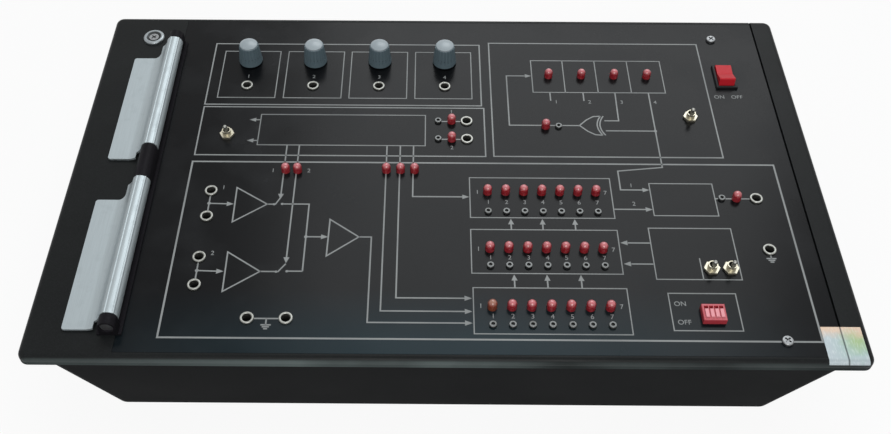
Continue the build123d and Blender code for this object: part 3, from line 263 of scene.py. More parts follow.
def make_moulded_skin():
    """Grained plastic with dust on top, uneven gloss and a painted highlight on the rim's outer edge."""
    group, given = new_group(
        "moulded_skin",
        {"Dust": 0.3, "Grain size": 0.0005, "Rough": 0.5, "Gloss patches": 0.1, "Rim highlight": 0.0,
         "Half width": 1.0, "Half depth": 1.0},
        {"Tint": (0.02, 0.02, 0.02, 1.0), "Dust colour": (0.2, 0.2, 0.2, 1.0),
         "Highlight colour": (0.1, 0.1, 0.1, 1.0)},
    )
    grain = noise_of_size(group, given["Grain size"], fine_detail)
    dusty = mixed(group, dust_on_top(group, given["Dust"]), given["Tint"], given["Dust colour"])
    pits = sum_up(group, "MULTIPLY", ramp(group, grain, *pit_band), pit_share)
    colour = mixed(group, pits, dusty, given["Dust colour"])
    # Painted highlight along the rim's outer edge, mixed over the colour.
    rim_light = painted_rim_highlight(group, given["Half width"], given["Half depth"], given["Rim highlight"])
    colour = mixed(group, rim_light, colour, given["Highlight colour"])
    cloud = sum_up(group, "SUBTRACT", noise_of_size(group, gloss_patch_size), 0.5)
    rough = sum_up(group, "MULTIPLY_ADD", cloud, given["Gloss patches"], given["Rough"])
    return close_group(group, colour, rough, grain)


moulded_skin = make_moulded_skin()


def surfaced(name, group, values, depth, plain=None):
    """A material whose colour, roughness and relief come from a surface group; its other numbers are
    set on the shader's own sockets."""
    material = bpy.data.materials.new(name)
    material.use_nodes = True
    tree = material.node_tree
    tree.nodes.clear()
    surface = put(tree, "ShaderNodeGroup", values, node_tree=group).outputs
    relief = put(tree, "ShaderNodeBump", {"Height": surface["Height"], "Distance": depth}).outputs[0]
    shader = put(tree, "ShaderNodeBsdfPrincipled", {
        "Base Color": surface["Colour"],
        "Roughness": surface["Roughness"],
        "Normal": relief,
        **(plain or {}),
    })
    put(tree, "ShaderNodeOutputMaterial", {"Surface": shader.outputs[0]})
    return material


def dress(material, *names):
    """Gives CAD nodes their material."""
    for name in names:
        slots = nodes[name].data.materials
        slots.clear()
        slots.append(material)


case_plastic = surfaced(
    "case_plastic", moulded_skin,
    {"Tint": case_black, "Dust colour": case_dust, "Dust": 0.05, "Grain size": case_grain, "Rough": 0.46,
     "Gloss patches": 0.12, **rim_highlight_paint},
    depth=case_grain_depth, plain={"Specular IOR Level": 0.004},
)
frame_plastic = surfaced(
    "frame_plastic", moulded_skin,
    {"Tint": frame_black, "Dust colour": case_dust, "Dust": 0.10, "Grain size": frame_grain, "Rough": 0.36,
     "Gloss patches": 0.15, **rim_highlight_paint},
    depth=case_grain_depth, plain={"Specular IOR Level": 0.08},
)
dress(case_plastic, "base_tub")
dress(frame_plastic, "top_frame")

# The feet: four round pads of black rubber under the floor of the case, on which the module stands.
# They are matt and slightly chalky.
foot_rubber = surfaced(
    "foot_rubber", moulded_skin,
    {"Tint": (0.018, 0.018, 0.018, 1.0), "Dust colour": (0.10, 0.10, 0.10, 1.0), "Dust": 0.4,
     "Grain size": 0.0004, "Rough": 0.85, "Gloss patches": 0.05},
    depth=0.00003,
)
dress(foot_rubber, "feet")

# The circuit boards: glass-epoxy laminate under green solder mask, with copper tracks showing through
# as slightly paler lines.
track_band = (0.28, 0.34)
mask_patch_size = 0.01
mask_patch_roughness = 0.1


def make_board_skin():
    """Solder mask over tracks and pads."""
    group, given = new_group(
        "board_skin",
        {"Rough": 0.3, "Track size": 0.0025},
        {"Tint": (0.02, 0.12, 0.05, 1.0), "Track colour": (0.05, 0.22, 0.09, 1.0)},
    )
    cells = put(
        group, "ShaderNodeTexVoronoi",
        {"Vector": place_on_piece(group), "Scale": sum_up(group, "DIVIDE", 1.0, given["Track size"])},
        distance="CHEBYCHEV", feature="F1",
    )
    tracks = fade(group, cells.outputs["Distance"], *track_band)
    colour = mixed(group, tracks, given["Tint"], given["Track colour"])
    cloud = noise_of_size(group, mask_patch_size)
    rough = sum_up(group, "MULTIPLY_ADD", cloud, mask_patch_roughness, given["Rough"])
    return close_group(group, colour, rough, tracks)


board_green = surfaced(
    "board_green", make_board_skin(), {"Rough": 0.32, "Track size": 0.0025}, depth=0.00003
)
dress(board_green, "main_board", "supply_board")

# The parts of the power supply on its board: varnished iron and copper, sleeved capacitors, a black
# heat sink and green terminals; and the insulated leads inside the case.
inner_dust_part = 0.5
inner_dust_pale = 0.08


def dull(name, tint, rough, plain=None):
    """A plain inner part in the moulded skin, dustier than the outside."""
    dust_tint = tuple(inner_dust_part * part + inner_dust_pale for part in tint[:3]) + (1.0,)
    return surfaced(
        name, moulded_skin,
        {"Tint": tint, "Dust colour": dust_tint, "Dust": 0.5, "Grain size": 0.0006, "Rough": rough,
         "Gloss patches": 0.1},
        depth=0.00001, plain=plain,
    )


dress(dull("varnished_iron", (0.13, 0.12, 0.12, 1.0), 0.45), "supply_transformer")
dress(dull("capacitor_sleeve", (0.02, 0.035, 0.10, 1.0), 0.30), "supply_capacitors")
dress(dull("black_anodised", (0.03, 0.03, 0.032, 1.0), 0.45, plain={"Metallic": 0.6}), "supply_heat_sink")
dress(dull("terminal_green", (0.03, 0.22, 0.08, 1.0), 0.4), "supply_terminals")
dress(dull("wire_brown", (0.16, 0.06, 0.03, 1.0), 0.5), "mains_leads")
dress(dull("wire_red", (0.35, 0.03, 0.03, 1.0), 0.5), "supply_leads")

# The screws: zinc-plated steel, turned and rolled, with small marks from the driver. The one in the
# rear corner sits on a washer that is dished in its middle, which is darkened with painted shade.
mark_detail = 3.0
mark_band = (0.4, 0.7)
mark_roughness = 0.18
spot_size = 0.006
spot_detail = 5.0
spot_band = (0.52, 0.72)
spot_roughness = 0.25
# Painted shade: hollows found by ambient occlusion within this reach, and the washer's dished middle, turn
# dark.
hollow_shade_reach = 0.006
hollow_shade_open_band = (0.08, 0.40)
painted_shade_share = 0.88
painted_shade_black = (0.010, 0.010, 0.010, 1.0)
cup_shade_blend = 0.0006
washer_shade_radius = 0.0049


def make_worked_metal():
    """Metal with fine working marks drawn out along Y, darker and rougher spots, and painted shade in its
    hollows and in an optional round patch.
    """
    group, given = new_group(
        "worked_metal",
        {"Mark size": 0.0003, "Rough": 0.3, "Mark contrast": 0.3, "Spots": 0.3, "Along Y": 1.0,
         "Shade centre X": 0.0, "Shade centre Y": 0.0, "Shade radius": 0.0},
        {"Tint": (0.6, 0.6, 0.6, 1.0), "Spot colour": (0.2, 0.2, 0.2, 1.0)},
    )
    on_piece = place_on_piece(group)
    stretch = put(group, "ShaderNodeCombineXYZ", {"X": 1.0, "Y": given["Along Y"], "Z": 1.0}).outputs[0]
    drawn = put(group, "ShaderNodeVectorMath", {0: on_piece, 1: stretch}, operation="MULTIPLY").outputs[0]
    per_metre = sum_up(group, "DIVIDE", 1.0, given["Mark size"])
    noise = put(group, "ShaderNodeTexNoise", {"Vector": drawn, "Scale": per_metre, "Detail": mark_detail})
    marks = noise.outputs[0]
    blotches = ramp(group, noise_of_size(group, spot_size, spot_detail), *spot_band)
    spots = sum_up(group, "MULTIPLY", blotches, given["Spots"])
    worked = sum_up(group, "MULTIPLY", ramp(group, marks, *mark_band), given["Mark contrast"])
    colour = mixed(group, worked, given["Tint"], given["Spot colour"])
    colour = mixed(group, spots, colour, given["Spot colour"])
    rough = sum_up(group, "MULTIPLY_ADD", marks, mark_roughness, given["Rough"])
    rough = sum_up(group, "MULTIPLY_ADD", spots, spot_roughness, rough)
    # Painted shade in the hollows and in the round patch about the shade centre.
    nearby = put(group, "ShaderNodeAmbientOcclusion", {"Distance": hollow_shade_reach}, samples=8)
    hollow_shade = fade(group, nearby.outputs["AO"], *hollow_shade_open_band)
    centre = put(group, "ShaderNodeCombineXYZ", {"X": given["Shade centre X"], "Y": given["Shade centre Y"]})
    flat = put(group, "ShaderNodeVectorMath", {0: on_piece, 1: (1.0, 1.0, 0.0)}, operation="MULTIPLY")
    away = put(
        group, "ShaderNodeVectorMath", {0: flat.outputs[0], 1: centre.outputs[0]}, operation="DISTANCE"
    )
    blend_start = sum_up(group, "SUBTRACT", given["Shade radius"], cup_shade_blend)
    cup_shade = fade(group, away.outputs["Value"], blend_start, given["Shade radius"])
    painted_shade = sum_up(group, "MULTIPLY", sum_up(group, "MAXIMUM", hollow_shade, cup_shade), painted_shade_share)
    colour = mixed(group, painted_shade, colour, painted_shade_black)
    return close_group(group, colour, rough, marks)


worked_metal = make_worked_metal()
screw_steel = surfaced(
    "screw_steel", worked_metal,
    {"Tint": (0.26, 0.27, 0.275, 1.0), "Spot colour": (0.12, 0.12, 0.13, 1.0), "Mark size": 0.0004,
     "Rough": 0.30, "Mark contrast": 0.35, "Spots": 0.5},
    depth=0.00002, plain={"Metallic": 1.0},
)
washer_low, washer_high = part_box("corner_washer")
# The washer's dished middle gets painted shade within this radius.
washer_steel = surfaced(
    "washer_steel", worked_metal,
    {"Tint": (0.30, 0.33, 0.345, 1.0), "Spot colour": (0.12, 0.13, 0.13, 1.0), "Mark size": 0.0004,
     "Rough": 0.30, "Mark contrast": 0.35, "Spots": 0.5, "Shade centre X": (washer_low.x + washer_high.x) / 2,
     "Shade centre Y": (washer_low.y + washer_high.y) / 2, "Shade radius": washer_shade_radius},
    depth=0.00002, plain={"Metallic": 1.0},
)
dress(screw_steel, "panel_screws", "corner_screw", "flange_screws")
dress(screw_steel, "inlet_screws", "board_screws", "supply_screws")
dress(washer_steel, "corner_washer")

# The front panel: sheet metal under a satin black print. It is smooth to the touch, with the faint
# unevenness of a sprayed coat, some fingermarks, and a painted cool reflection along the middle of its front
# edge.
panel_black = (0.0030, 0.0034, 0.0042, 1.0)
panel_haze = (0.020, 0.022, 0.024, 1.0)
# Colour of the painted reflection along the panel's front edge.
panel_front_reflection = (0.0085, 0.0240, 0.0320, 1.0)
fingermark_size = 0.030
fingermark_detail = 5.0
fingermark_band = (0.45, 0.80)
fingermark_roughness = 0.10
reflection_side_band = (0.03, 0.19)
reflection_depth_band = (-0.085, -0.118)


def make_printed_coat():
    """A flat sprayed or printed coat: soft unevenness, fingermarks, a little dust and a painted cool
    reflection along the front edge.
    """
    group, given = new_group(
        "printed_coat",
        {"Haze": 0.3, "Rough": 0.35, "Dust": 0.1, "Peel size": 0.002, "Front reflection": 0.0},
        {"Tint": (0.02, 0.02, 0.02, 1.0), "Haze colour": (0.1, 0.1, 0.1, 1.0),
         "Reflection colour": (0.1, 0.1, 0.1, 1.0)},
    )
    peel = noise_of_size(group, given["Peel size"], fine_detail)
    marks = ramp(group, noise_of_size(group, fingermark_size, fingermark_detail), *fingermark_band)
    share = sum_up(group, "MULTIPLY_ADD", marks, given["Haze"], dust_on_top(group, given["Dust"]))
    colour = mixed(group, share, given["Tint"], given["Haze colour"])
    axes = put(group, "ShaderNodeSeparateXYZ", {0: place_on_piece(group)}).outputs
    # Painted reflection: a cool tint near the middle of the panel's front edge.
    along = fade(group, sum_up(group, "ABSOLUTE", axes["X"]), *reflection_side_band)
    front_reflection = sum_up(group, "MULTIPLY", along, ramp(group, axes["Y"], *reflection_depth_band))
    front_reflection = sum_up(group, "MULTIPLY", front_reflection, given["Front reflection"])
    colour = mixed(group, front_reflection, colour, given["Reflection colour"])
    rough = sum_up(group, "MULTIPLY_ADD", marks, fingermark_roughness, given["Rough"])
    return close_group(group, colour, rough, peel)


printed_coat = make_printed_coat()
panel_print = surfaced(
    "panel_print", printed_coat,
    {"Tint": panel_black, "Haze colour": panel_haze, "Haze": 0.35, "Rough": 0.21, "Dust": 0.10,
     "Peel size": 0.0015, "Front reflection": 0.9, "Reflection colour": panel_front_reflection},
    depth=0.000008, plain={"Specular IOR Level": 0.10},
)
dress(panel_print, "front_panel")

# The block frames printed on the panel: plain rules in a worn white ink, silk-screened in one thick
# pass that stands a little above the coat. The frame around the largest block is the broadest. The
# prints' places and widths are written in millimetres.
MM = 0.001
panel_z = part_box("front_panel")[1].z
ink_proud = 0.05 * MM
ink_sunk = 0.03 * MM
patch_proud = 0.08 * MM
rule_width = 0.8
main_rule_width = 1.0
box_rule_width = 0.58
sharpest_mitre = 0.3
arrow_spread = 0.42
ink_white = (0.28, 0.295, 0.295, 1.0)
ink_worn = (0.12, 0.13, 0.135, 1.0)
main_frame = (-143.3, -115.6, 187.0, 2.5)
back_frames = ((-143.0, 48.8, 22.4, 103.0), (-143.0, 7.7, 23.7, 46.7), (28.4, 7.9, 159.5, 105.0))
register_low = 60.8
register_high = 89.0
function_boxes = (
    (-136.3, 54.7, -101.8, 96.0), (-96.7, 54.7, -62.0, 96.0), (-57.2, 54.7, -22.5, 96.0),
    (-17.5, 54.7, 16.9, 96.0), (-108.1, 15.8, -11.0, 40.5), (54.0, register_low, 134.0, register_high),
    (14.0, -37.4, 92.6, -8.5), (13.9, -74.9, 92.8, -45.7), (14.3, -112.2, 93.5, -84.1),
    (114.3, -35.2, 149.5, -12.0), (109.8, -78.0, 154.2, -44.0), (114.3, -109.5, 148.9, -86.8),
)
register_divider_xs = (73.5, 93.4, 113.5)
selector_divider = (134.2, -64.1, -78.0)

ink = surfaced(
    "screen_ink", printed_coat,
    {"Tint": ink_white, "Haze colour": ink_worn, "Haze": 0.45, "Rough": 0.55, "Dust": 0.2,
     "Peel size": 0.0006},
    depth=0.00001,
)


class Print:
    """Flat shapes of ink, gathered in millimetres and then made into one thin mesh."""

    def __init__(self, name):
        self.name = name
        self.points = []
        self.faces = []

    def plate(self, outline):
        """A convex patch of ink, its outline going round anticlockwise. It takes more ink than a line."""
        count = len(outline)
        start = len(self.points)
        for z in (panel_z - ink_sunk, panel_z + patch_proud):
            self.points += [(x * MM, y * MM, z) for x, y in outline]
        self.faces.append([start + n for n in reversed(range(count))])
        self.faces.append([start + count + n for n in range(count)])
        for n in range(count):
            after = (n + 1) % count
            self.faces.append([start + n, start + after, start + count + after, start + count + n])

    def rule(self, points, closed=False, width=rule_width):
        """A line of ink through the points, mitred at its corners."""
        points = [Vector(point) for point in points]
        count = len(points)
        rails = []
        for n, point in enumerate(points):
            ways = []
            if closed or n > 0:
                ways.append((point - points[n - 1]).normalized())
            if closed or n < count - 1:
                ways.append((points[(n + 1) % count] - point).normalized())
            across = sum((Vector((-way.y, way.x)) for way in ways), Vector((0.0, 0.0))).normalized()
            reach = width / 2 / max(across.dot(Vector((-ways[0].y, ways[0].x))), sharpest_mitre)
            rails.append((point + across * reach, point - across * reach))
        start = len(self.points)
        for left, right in rails:
            for z in (panel_z - ink_sunk, panel_z + ink_proud):
                self.points += [(left.x * MM, left.y * MM, z), (right.x * MM, right.y * MM, z)]
        runs = count if closed else count - 1
        for n in range(runs):
            a = start + 4 * n
            b = start + 4 * ((n + 1) % count)
            self.faces += [(a + 3, b + 3, b + 2, a + 2), (a, b, b + 1, a + 1)]
            self.faces += [(a + 1, b + 1, b + 3, a + 3), (a + 2, b + 2, b, a)]
        if not closed:
            last = start + 4 * runs
            self.faces += [(start, start + 1, start + 3, start + 2), (last + 1, last, last + 2, last + 3)]

    def block(self, x0, y0, x1, y1, width=rule_width):
        """A frame of ink between two opposite corners."""
        self.rule([(x0, y0), (x1, y0), (x1, y1), (x0, y1)], closed=True, width=width)

    def disc(self, x, y, radius, sides=16):
        """A round dot of ink."""
        turns = [2 * math.pi * n / sides for n in range(sides)]
        self.plate([(x + radius * math.cos(turn), y + radius * math.sin(turn)) for turn in turns])

    def arrow(self, x, y, way, length):
        """A solid arrowhead with its tip at the point."""
        way = Vector(way).normalized()
        across = Vector((-way.y, way.x)) * length * arrow_spread
        back = Vector((x, y)) - way * length
        self.plate([(x, y), tuple(back + across), tuple(back - across)])

    def finish(self):
        """Makes the mesh, which is carried by the case."""
        mesh = bpy.data.meshes.new(self.name)
        mesh.from_pydata(self.points, [], self.faces)
        piece = bpy.data.objects.new(self.name, mesh)
        bpy.context.scene.collection.objects.link(piece)
        mesh.materials.append(ink)
        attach(piece, "case")


frames = Print("printed_frames")
frames.block(*main_frame, width=main_rule_width)
for corners in back_frames:
    frames.block(*corners)
for corners in function_boxes:
    frames.block(*corners, width=box_rule_width)
for x in register_divider_xs:
    frames.rule([(x, register_low), (x, register_high)], width=box_rule_width)
x, high, low = selector_divider
frames.rule([(x, high), (x, low)], width=box_rule_width)
frames.finish()

# The signal paths printed between the blocks in the same ink: rules with solid arrowheads, the triangles
# of the amplifiers, the gate of the feedback path, junction dots and earth signs.
path_width = 0.78
arrow_length = 3.8
dot_radius = 1.0
contact_dot_radius = 0.75
signal_lines = (
    ((-129.6, -22.7), (-129.6, -35.0)), ((-129.6, -28.6), (-117.3, -28.9)),
    ((-129.6, -68.7), (-129.6, -80.7)), ((-129.6, -74.4), (-117.3, -74.8)),
    ((-97.6, -28.9), (-94.4, -28.9)), ((-93.2, -29.2), (-90.4, -23.6)),
    ((-89.0, -28.7), (-74.5, -28.7), (-74.5, -74.4)),
    ((-96.6, -74.7), (-88.6, -74.7)), ((-87.4, -75.0), (-83.6, -69.6)), ((-82.2, -74.4), (-74.5, -74.4)),
    ((-74.5, -51.5), (-65.2, -51.5)), ((-46.1, -51.4), (-39.4, -51.4), (-39.4, -105.9), (11.9, -105.9)),
    ((-90.7, 15.4), (-90.7, -23.4)), ((-83.6, 15.4), (-83.6, -67.4)),
    ((-33.0, 15.4), (-33.0, -98.9), (12.1, -98.9)), ((-25.3, 15.4), (-25.3, -90.8), (12.2, -90.8)),
    ((-17.7, 15.4), (-17.7, -22.7), (11.8, -22.7)),
    ((-3.5, 35.6), (10.2, 35.6)), ((-3.5, 21.1), (10.2, 21.1)),
    ((-108.1, 36.0), (-111.6, 36.0)), ((-108.1, 19.2), (-111.4, 19.2)),
    ((64.1, 60.4), (64.1, 53.6)), ((84.1, 60.4), (84.1, 53.6)), ((103.4, 60.4), (103.0, 37.0), (94.6, 37.0)),
    ((123.6, 60.4), (123.6, 0.2), (98.0, -2.8), (98.0, -16.8), (112.0, -16.8)), ((123.4, 28.8), (94.6, 28.8)),
    ((79.4, 32.9), (38.4, 32.9), (38.4, 75.1), (51.0, 75.1)),
    ((93.0, -30.9), (112.0, -30.9)), ((149.8, -22.8), (169.2, -22.8)),
    ((109.4, -54.2), (97.6, -54.2)), ((109.4, -68.2), (97.8, -68.2)),
    ((172.2, -61.4), (172.2, -64.0)), ((-97.0, -104.0), (-83.4, -104.0)), ((-90.2, -104.0), (-90.2, -107.8)),
)
arrowheads = (
    (-116.0, -28.9, 1, 0), (-115.6, -74.8, 1, 0), (-62.6, -51.5, 1, 0), (-90.7, -25.2, 0, -1),
    (-83.6, -69.2, 0, -1), (13.6, -105.9, 1, 0), (13.6, -98.9, 1, 0), (13.6, -90.8, 1, 0),
    (13.6, -22.7, 1, 0), (53.6, 75.1, 1, 0),
    (114.0, -16.8, 1, 0), (114.0, -30.9, 1, 0), (93.6, -54.2, -1, 0), (93.8, -68.2, -1, 0),
    (-114.6, 36.0, -1, 0), (-114.4, 19.2, -1, 0),
)
amplifiers = (
    ((-115.6, -17.0), (-115.2, -41.6), (-97.6, -28.9)), ((-115.0, -62.1), (-114.6, -87.6), (-96.6, -74.7)),
    ((-62.3, -39.4), (-62.7, -64.3), (-46.1, -51.4)),
)
junctions = ((123.6, 28.8), (-74.5, -51.5), (-129.6, -28.6), (-129.6, -74.4))
contact_dots = ((-93.8, -29.0), (-89.4, -28.7), (-88.2, -74.8), (-82.6, -74.5))
earth_signs = ((172.2, -64.0), (-90.2, -107.8))
earth_bar_halves = (2.6, 1.8, 1.0)
earth_pitch = 1.15
earth_bar_width = 0.8
upward_arrow_xs = (35.9, 53.0, 70.6)
upward_arrow_rows = ((-45.4, -38.2), (-83.8, -75.6))
upward_arrow_overlap = 2.0
gate_left = 79.6
gate_right = 94.2
gate_low = 25.2
gate_high = 40.8
gate_middle = (gate_low + gate_high) / 2
gate_half = (gate_high - gate_low) / 2
gate_shoulders = ((88.2, 40.4), (84.0, 37.6))
gate_bow = 2.6
gate_band_gap = 1.6

paths = Print("printed_paths")
for line in signal_lines:
    paths.rule(line, width=path_width)
for x, y, dx, dy in arrowheads:
    paths.arrow(x, y, (dx, dy), arrow_length)
for triangle in amplifiers:
    paths.rule(triangle, closed=True, width=path_width)
for x, y in junctions:
    paths.disc(x, y, dot_radius)
for x, y in contact_dots:
    paths.disc(x, y, contact_dot_radius)
for x, y in earth_signs:
    for n, half in enumerate(earth_bar_halves):
        paths.rule([(x - half, y - earth_pitch * n), (x + half, y - earth_pitch * n)], width=earth_bar_width)
for low, high in upward_arrow_rows:
    for x in upward_arrow_xs:
        paths.rule([(x, low), (x, high - upward_arrow_overlap)], width=path_width)
        paths.arrow(x, high, (0, 1), arrow_length)


def bow(x, steps=10):
    """A curved back edge of the gate, whose two ends are at x. It bulges to the left."""
    heights = [gate_low + (gate_high - gate_low) * n / steps for n in range(steps + 1)]
    return [(x - gate_bow * (1 - ((y - gate_middle) / gate_half) ** 2), y) for y in heights]


paths.rule(bow(gate_right - gate_band_gap), width=path_width)
paths.rule(bow(gate_right), width=path_width)
upper = [(gate_right - gate_band_gap, gate_high), *gate_shoulders, (gate_left, gate_middle)]
lower = [(x, 2 * gate_middle - y) for x, y in reversed(upper[:-1])]
paths.rule(upper + lower, width=path_width)
paths.finish()

# The small figures beside the terminals and lamps: plain numbers, and ON and OFF at the two switches,
# in the same white ink.
figure_height = 2.9
font_size_per_height = 1.38
knob_figure_y = 73.2
first_knob_x = -119.5
knob_pitch = 40.0
lone_figures = (
    ("ON", 119.6, -93.4), ("OFF", 120.2, -104.6), ("ON", 166.0, 57.6), ("OFF", 176.6, 57.6),
    ("1", -123.0, -17.0), ("2", -123.0, -63.0), ("1", -96.8, -4.1), ("2", -76.6, -4.1),
    ("1", 4.4, 43.7), ("2", 4.4, 14.4), ("1", 18.2, -19.2), ("1", 17.8, -59.0), ("7", 89.4, -59.0),
    ("7", 89.2, -19.2), ("1", 18.0, -95.5), ("7", 89.6, -95.5), ("1", 104.2, -13.6), ("2", 104.2, -27.0),
)
lamp_figure_ys = (-26.4, -64.6, -101.7)
lamp_figure_shift = 0.3
first_lamp_x = 23.8
lamp_pitch = 10.0
lamp_row_xs = [first_lamp_x + lamp_pitch * n for n in range(7)]
register_figure_xs = (67.4, 87.4, 106.6, 126.6)
register_figure_y = 52.6
figures = [(str(n + 1), first_knob_x + knob_pitch * n, knob_figure_y) for n in range(4)]
figures += lone_figures
figures += [(str(n + 1), x + lamp_figure_shift, y) for y in lamp_figure_ys for n, x in enumerate(lamp_row_xs)]
figures += [(str(n + 1), x, register_figure_y) for n, x in enumerate(register_figure_xs)]

letters = bpy.data.curves.new("printed_figures", "FONT")
letters.size = figure_height * MM * font_size_per_height
letters.extrude = (ink_proud + ink_sunk) / 2
letters.align_x = "CENTER"
letters.align_y = "CENTER"
for n, (label, x, y) in enumerate(figures):
    curve = letters.copy()
    curve.body = label
    piece = bpy.data.objects.new(f"printed_figure_{n + 1}", curve)
    piece.location = (x * MM, y * MM, panel_z + (ink_proud - ink_sunk) / 2)
    bpy.context.scene.collection.objects.link(piece)
    curve.materials.append(ink)
    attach(piece, "case")

# The hinge at the left: a black moulded ridge with knuckles, a steel rod through them and two rolled
# leaves of satin-anodised aluminium that turn on the rod.
ridge_plastic = surfaced(
    "ridge_plastic", moulded_skin,
    {"Tint": (0.0085, 0.0080, 0.0095, 1.0), "Dust colour": (0.06, 0.055, 0.07, 1.0), "Dust": 0.08,
     "Grain size": 0.0009, "Rough": 0.40, "Gloss patches": 0.15},
    depth=0.00003, plain={"Specular IOR Level": 0.03},
)
leaf_silver = surfaced(
    "leaf_silver", worked_metal,
    {"Tint": (0.37, 0.420, 0.44, 1.0), "Spot colour": (0.25, 0.285, 0.30, 1.0), "Mark size": 0.0005,
     "Rough": 0.34, "Mark contrast": 0.22, "Spots": 0.22, "Along Y": 0.03},
    depth=0.00001, plain={"Metallic": 0.55},
)
rod_steel = surfaced(
    "rod_steel", worked_metal,
    {"Tint": (0.48, 0.48, 0.50, 1.0), "Spot colour": (0.2, 0.2, 0.2, 1.0), "Mark size": 0.0004, "Rough": 0.25,
     "Mark contrast": 0.3, "Spots": 0.3, "Along Y": 0.02},
    depth=0.00001, plain={"Metallic": 1.0},
)
dress(ridge_plastic, "hinge_bar")
dress(leaf_silver, "hinge_leaf_rear", "hinge_leaf_front")
dress(rod_steel, "hinge_rod")

# The four knobs: fluted, tapered bodies in blue-grey plastic with a pale domed cap pressed into the
# top, on steel shafts.
knob_plastic = surfaced(
    "knob_plastic", moulded_skin,
    {"Tint": (0.098, 0.142, 0.165, 1.0), "Dust colour": (0.24, 0.30, 0.34, 1.0), "Dust": 0.3,
     "Grain size": 0.0003, "Rough": 0.42, "Gloss patches": 0.10},
    depth=0.00001,
)
cap_plastic = surfaced(
    "cap_plastic", moulded_skin,
    {"Tint": (0.31, 0.365, 0.395, 1.0), "Dust colour": (0.50, 0.56, 0.59, 1.0), "Dust": 0.4,
     "Grain size": 0.0004, "Rough": 0.38, "Gloss patches": 0.08},
    depth=0.000006, plain={"Coat Weight": 0.15},
)
for n in range(1, 5):
    dress(knob_plastic, f"knob_{n}")
    dress(cap_plastic, f"knob_cap_{n}")
    dress(rod_steel, f"pot_shaft_{n}")

# The ring sockets, the small ring test points and the small switches: turned brass. The sockets, the levers
# and the mains inlet's blades are nickel-plated and bright, the test points have dulled, and the collars
# and all the nuts are a warm pale brass. The potentiometers behind the knobs have steel cans.
nickel = surfaced(
    "bright_nickel", worked_metal,
    {"Tint": (0.30, 0.305, 0.285, 1.0), "Spot colour": (0.15, 0.15, 0.13, 1.0), "Mark size": 0.0003,
     "Rough": 0.28, "Mark contrast": 0.18, "Spots": 0.25},
    depth=0.000005, plain={"Metallic": 0.9},
)
dull_nickel = surfaced(
    "dull_nickel", worked_metal,
    {"Tint": (0.115, 0.120, 0.12, 1.0), "Spot colour": (0.07, 0.07, 0.06, 1.0), "Mark size": 0.0003,
     "Rough": 0.30, "Mark contrast": 0.18, "Spots": 0.25},
    depth=0.000005, plain={"Metallic": 0.9},
)
pale_brass = surfaced(
    "pale_brass", worked_metal,
    {"Tint": (0.47, 0.445, 0.36, 1.0), "Spot colour": (0.24, 0.215, 0.14, 1.0), "Mark size": 0.0003,
     "Rough": 0.24, "Mark contrast": 0.22, "Spots": 0.35},
    depth=0.000005, plain={"Metallic": 0.85},
)
dress(nickel, "sockets", "inlet_blades")
dress(dull_nickel, "test_pins")
dress(pale_brass, "socket_nuts", "board_pillars", "bushing_nuts", "toggle_bodies")
for n in range(1, 5):
    dress(nickel, f"toggle_lever_{n}")
dress(screw_steel, "pot_bodies")

# The lamps: round lenses of tinted epoxy, red but for one amber. Their tops are paler with a painted
# highlight.
lens_swirl_size = 0.0012
lens_swirl_band = (0.45, 0.75)
lens_swirl_roughness = 0.08
lens_highlight_band = (0.55, 0.95)
lens_highlight_share = 0.55


def make_lens_tint():
    """Clear tinted resin with fine moulding swirls in a paler tone, and a painted highlight where it faces
    up.
    """
    group, given = new_group(
        "lens_tint",
        {"Rough": 0.2, "Swirl": 0.2},
        {"Tint": (0.6, 0.02, 0.03, 1.0), "Top highlight colour": (0.8, 0.2, 0.2, 1.0)},
    )
    swirl = noise_of_size(group, lens_swirl_size, fine_detail)
    share = sum_up(group, "MULTIPLY", ramp(group, swirl, *lens_swirl_band), given["Swirl"])
    # Painted highlight: the lens turns paler where it faces up.
    share = sum_up(group, "MULTIPLY_ADD", facing_up(group, lens_highlight_band), lens_highlight_share, share)
    colour = mixed(group, share, given["Tint"], given["Top highlight colour"])
    rough = sum_up(group, "MULTIPLY_ADD", swirl, lens_swirl_roughness, given["Rough"])
    return close_group(group, colour, rough, swirl)


lens_tint = make_lens_tint()
lens_numbers = {
    "Coat Weight": 1.0,
    "Coat Roughness": 0.28,
    "Subsurface Weight": 0.25,
    "Subsurface Scale": 0.001,
}
red_lens = surfaced(
    "red_lens", lens_tint,
    {"Tint": (0.32, 0.010, 0.018, 1.0), "Top highlight colour": (0.78, 0.24, 0.27, 1.0), "Rough": 0.24, "Swirl": 0.25},
    depth=0.000004, plain=lens_numbers,
)
amber_lens = surfaced(
    "amber_lens", lens_tint,
    {"Tint": (0.24, 0.045, 0.018, 1.0), "Top highlight colour": (0.42, 0.18, 0.11, 1.0), "Rough": 0.24, "Swirl": 0.25},
    depth=0.000004, plain=lens_numbers,
)
dress(red_lens, "red_lamps")
dress(amber_lens, "amber_lamp")

# The power switch: a glossy red rocker in a black bezel that clips into the panel. The same moulded black
# is used for the mains inlet, the socket block under the slide switch and the logic packages.
rocker_red = surfaced(
    "rocker_red", moulded_skin,
    {"Tint": (0.54, 0.016, 0.026, 1.0), "Dust colour": (0.66, 0.10, 0.12, 1.0), "Dust": 0.15,
     "Grain size": 0.0006, "Rough": 0.30, "Gloss patches": 0.08},
    depth=0.000005, plain={"Specular IOR Level": 0.12},
)
switch_black = surfaced(
    "switch_black", moulded_skin,
    {"Tint": (0.010, 0.010, 0.011, 1.0), "Dust colour": (0.08, 0.08, 0.08, 1.0), "Dust": 0.15,
     "Grain size": 0.0005, "Rough": 0.36, "Gloss patches": 0.08},
    depth=0.00001, plain={"Specular IOR Level": 0.12},
)
dress(rocker_red, "power_rocker")
dress(switch_black, "power_switch_housing", "mains_inlet", "fault_switch_socket", "board_chips")

